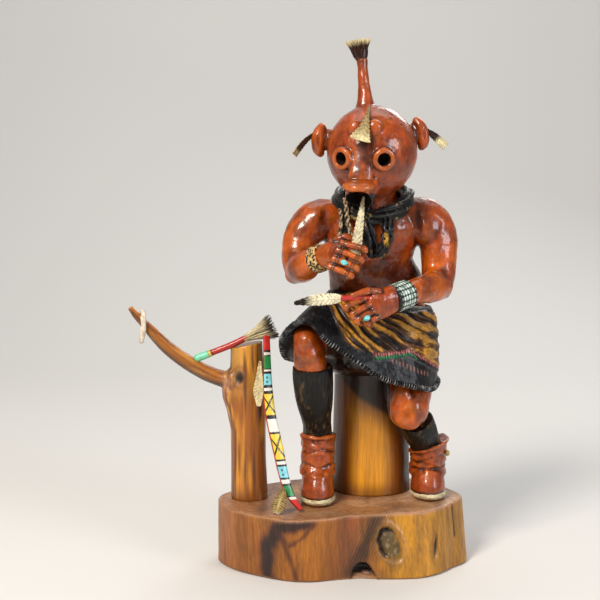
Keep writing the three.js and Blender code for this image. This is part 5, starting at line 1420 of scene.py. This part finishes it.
def makePrayerStick():
    r = prayer["radius"]
    shaft = [(*place, r, r) for place in prayer["line"]]
    piece = pieceFrom("prayer_stick_shaft", [loft(shaft, sides=24, steps=120, side=(0, 0, 1))])
    points = readPoints(piece)
    along = (points - prayer["line"][0]) @ unit(np.array(prayer["line"][-1]) - prayer["line"][0])
    cap, tieEnd = prayer["cap"], prayer["cap"] + prayer["tie"]
    onCap = 1 - ease(along, cap - 0.2, cap)
    onTie = ease(along, cap, cap + 0.1) * (1 - ease(along, tieEnd, tieEnd + 0.1))
    swell = 0.35 * onCap + 0.3 * onTie * np.abs(np.sin(along * 7))
    writePoints(piece, points + readPoints(piece, "normal") * swell[:, None])
    colour = brush(ground(points, "#A8281E"), "#74CDA4", onCap)
    colour = brush(colour, "#C9B040", onTie)
    colour = brush(colour, "#1A120E", (1 - ease(np.abs(along - tieEnd - 0.5), 0.2, 0.6)) * 0.9)
    keep(piece, colour, 0, glossEnamel, "red_stick", "prayer_stick")
    makeTuft("prayer_stick_tuft", "prayer_stick", prayer["tuft"])


makePrayerStick()

# White hank hung over the branch: a soft roll with a slight twist
hank = {"radius": 1.4, "bend": 0.9}


def makeHank():
    low, high = [np.array(corner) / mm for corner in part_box("white_hank")]
    x, y = (low[0] + high[0]) / 2, (low[1] + high[1]) / 2
    bottom, top, r = low[2] - slabTop, high[2] - slabTop, hank["radius"]
    half = (high[1] - low[1]) / 2 - r
    line = [
        (x - 0.6, y + half, bottom + 9, r * 0.8, r * 0.8), (x - 0.4, y + half * 0.9, top - 4, r, r),
        (x, y + half * 0.2, top - r, r, r), (x + hank["bend"], y - half * 0.8, top - 3.4, r, r),
        (x + hank["bend"], y - half, (top + bottom) / 2 - 2, r, r),
        (x - 0.2, y - half, bottom + r, r * 0.9, r * 0.9)]
    piece = pieceFrom("white_hank_roll", [loft(line, sides=32, steps=140, side=(0.3, 0, 1))])
    points, normals = readPoints(piece), readPoints(piece, "normal")
    uv = readUv(piece)
    twist = 0.1 * np.sin(uv[:, 0] * 4 * math.pi + uv[:, 1] * 26) + 0.1 * cloudy(points, (2, 2, 2), 3)
    writePoints(piece, points + normals * twist[:, None])
    colour = brush(ground(points, "#DCCFBC"), "#B09A80", ease(-twist, 0.02, 0.12) * 0.6)
    keep(piece, colour, 0, palePaint, "white_hank", "white_hank")


makeHank()
print("feathers, stick and hank made")

# Bow: painted bands on its face, measured down from its tip; back and sides stay red
bow = {
    "height": 86.5, "width": 5.4, "thickness": 3.4, "trunk": (-48.5, 0.5),
    "line": [
        (1, 9.4, 7.2, 0.62), (0.83, 9.8, 10.9, 0.74), (0.69, 10.2, 14.1, 0.92), (0.55, 11.6, 17.4, 1),
        (0.36, 15.4, 21.8, 1), (0.2, 18.6, 25.4, 0.9), (0.09, 22.2, 28, 0.74), (0.02, 27, 30, 0.4)],
    "bands": [
        ("red", 7.9), ("black", 8.9), ("white", 10.3), ("black", 10.8), ("green", 17.0), ("black", 17.5),
        ("white", 18.4), ("black", 19.7), ("blue", 25.1), ("black", 26.6), ("white", 28.0), ("black", 29.5),
        ("yellow", 39.9), ("black", 41.8), ("white", 48.2), ("black", 49.2), ("yellow", 61.5),
        ("black", 62.5), ("white", 64.0), ("black", 65.0), ("blue", 70.4), ("black", 71.3), ("white", 73.3),
        ("black", 74.3), ("green", 79.2), ("black", 79.7), ("white", 80.9), ("red", 99.0)],
    "paint": {
        "red": "#BE2A22", "black": "#15120F", "white": "#E4E0D4", "green": "#1C8443", "blue": "#7CCBD4",
        "yellow": "#E0C63A"},
}


def makeBow():
    tx, ty = bow["trunk"]
    wide, thick = bow["width"] / 2, bow["thickness"] / 2
    stations = [
        (tx + right, ty - front, bow["height"] * level, wide * share, thick * max(0.7, share))
        for level, right, front, share in bow["line"]]
    piece = pieceFrom("bow_wood", [loft(stations, 64, 560, (0.92, 0.38, 0.06), 0.55, (0.4, 0.6))])
    points, normals = readPoints(piece), readPoints(piece, "normal")
    fall = bow["height"] + 1 - points[:, 2]
    onFace = ease(-normals[:, 1] + 0.35 * normals[:, 0], 0.3, 0.55)
    colour = ground(points, bow["paint"]["red"])
    start = 0.0
    line = np.array([pathThrough(stations)(t) for t in np.linspace(0, 1, 400)])
    nearest = np.abs(points[:, 2][:, None] - line[:, 2][None, :]).argmin(1)
    across = (points[:, 0] - line[nearest, 0]) / line[nearest, 3]
    for name, end in bow["bands"]:
        inBand = (fall >= start) & (fall < end)
        colour = brush(colour, bow["paint"][name], inBand * onFace)
        share = (fall - start) / (end - start)
        if name == "yellow":
            cross = np.minimum(np.abs(share * 2 - 1 - across * 0.8), np.abs(share * 2 - 1 + across * 0.8))
            colour = brush(colour, bow["paint"]["black"], (1 - ease(cross, 0.1, 0.17)) * inBand * onFace)
        if name == "blue":
            for spot in (0.32, 0.72):
                dot = np.hypot((share - spot) * (end - start), across * 2.4)
                colour = brush(colour, bow["paint"]["black"], (1 - ease(dot, 0.45, 0.65)) * inBand * onFace)
        start = end
    wobble = 0.05 * cloudy(points, (1.5, 1.5, 3), 3)
    writePoints(piece, points + normals * wobble[:, None])
    keep(piece, colour, wobble, glossEnamel, "banded_bow", "bow")


makeBow()
print("bow made")

# A sheet of paper that curves up behind, daylight and softboxes
cove = {"size": 3.2, "starts": 0.6, "radius": 0.8, "paper": "#D6D4D0"}
sheet = bmesh.new()
bmesh.ops.create_grid(sheet, x_segments=2, y_segments=120, size=cove["size"])
for vert in sheet.verts:
    run = vert.co.y - cove["starts"]
    if run > 0:
        angle = min(run / cove["radius"], math.pi / 2)
        rest = max(run - cove["radius"] * math.pi / 2, 0)
        vert.co.y = cove["starts"] + cove["radius"] * math.sin(angle)
        vert.co.z = cove["radius"] * (1 - math.cos(angle)) + rest
floorData = bpy.data.meshes.new("floor")
sheet.to_mesh(floorData)
sheet.free()
floorData.shade_smooth()
floor = bpy.data.objects.new("floor", floorData)
bpy.context.scene.collection.objects.link(floor)
# Matt backing paper: an even pale sheet, with nothing on it for the eye to find
paper, paperTree = newMaterial("pale backing paper")
paperShader = addNode(
    paperTree, "BsdfPrincipled", {"Base Color": (*hexLinear(cove["paper"]), 1), "Roughness": 0.9})
addNode(paperTree, "OutputMaterial", {}, {"Surface": paperShader.outputs[0]})
floorData.materials.append(paper)
floor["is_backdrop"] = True

world = bpy.data.worlds.new("studio")
world.use_nodes = True
world.node_tree.nodes["Background"].inputs[0].default_value = (0.94, 0.96, 1, 1)
world.node_tree.nodes["Background"].inputs[1].default_value = 0.24
bpy.context.scene.world = world

softboxes = {
    "key": {"at": (-0.45, -0.7, 0.8), "aim": (0, 0, 0.13), "size": 0.3, "watts": 12.5, "colour": "#FFF6EA"},
    "fill": {
        "at": (0.75, -0.6, 0.45), "aim": (0, 0, 0.13), "size": 0.35, "watts": 4.5, "colour": "#F4F6FF"},
    "rim": {"at": (0.35, 0.7, 0.7), "aim": (0, 0, 0.13), "size": 0.4, "watts": 2, "colour": "#FFFFFF"},
    "backdrop": {"at": (0, 0.5, 1.5), "aim": (0, 1.5, 0.3), "size": 1.2, "watts": 9, "colour": "#FFFFFF"},
}
for name, box in softboxes.items():
    lamp = bpy.data.objects.new(name, bpy.data.lights.new(name, "AREA"))
    lamp.data.size = box["size"]
    lamp.data.energy = box["watts"]
    lamp.data.color = hexLinear(box["colour"])
    lamp.location = box["at"]
    lamp.rotation_euler = (Vector(box["aim"]) - lamp.location).to_track_quat("-Z", "Y").to_euler()
    bpy.context.scene.collection.objects.link(lamp)
print("studio lit")

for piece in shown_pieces():
    points = [tuple(corner) for corner in piece.bound_box]
    furthest = [round(max(point[k] for point in points) / mm, 1) for k in range(3)]
    print(piece.name, len(piece.data.polygons), furthest)
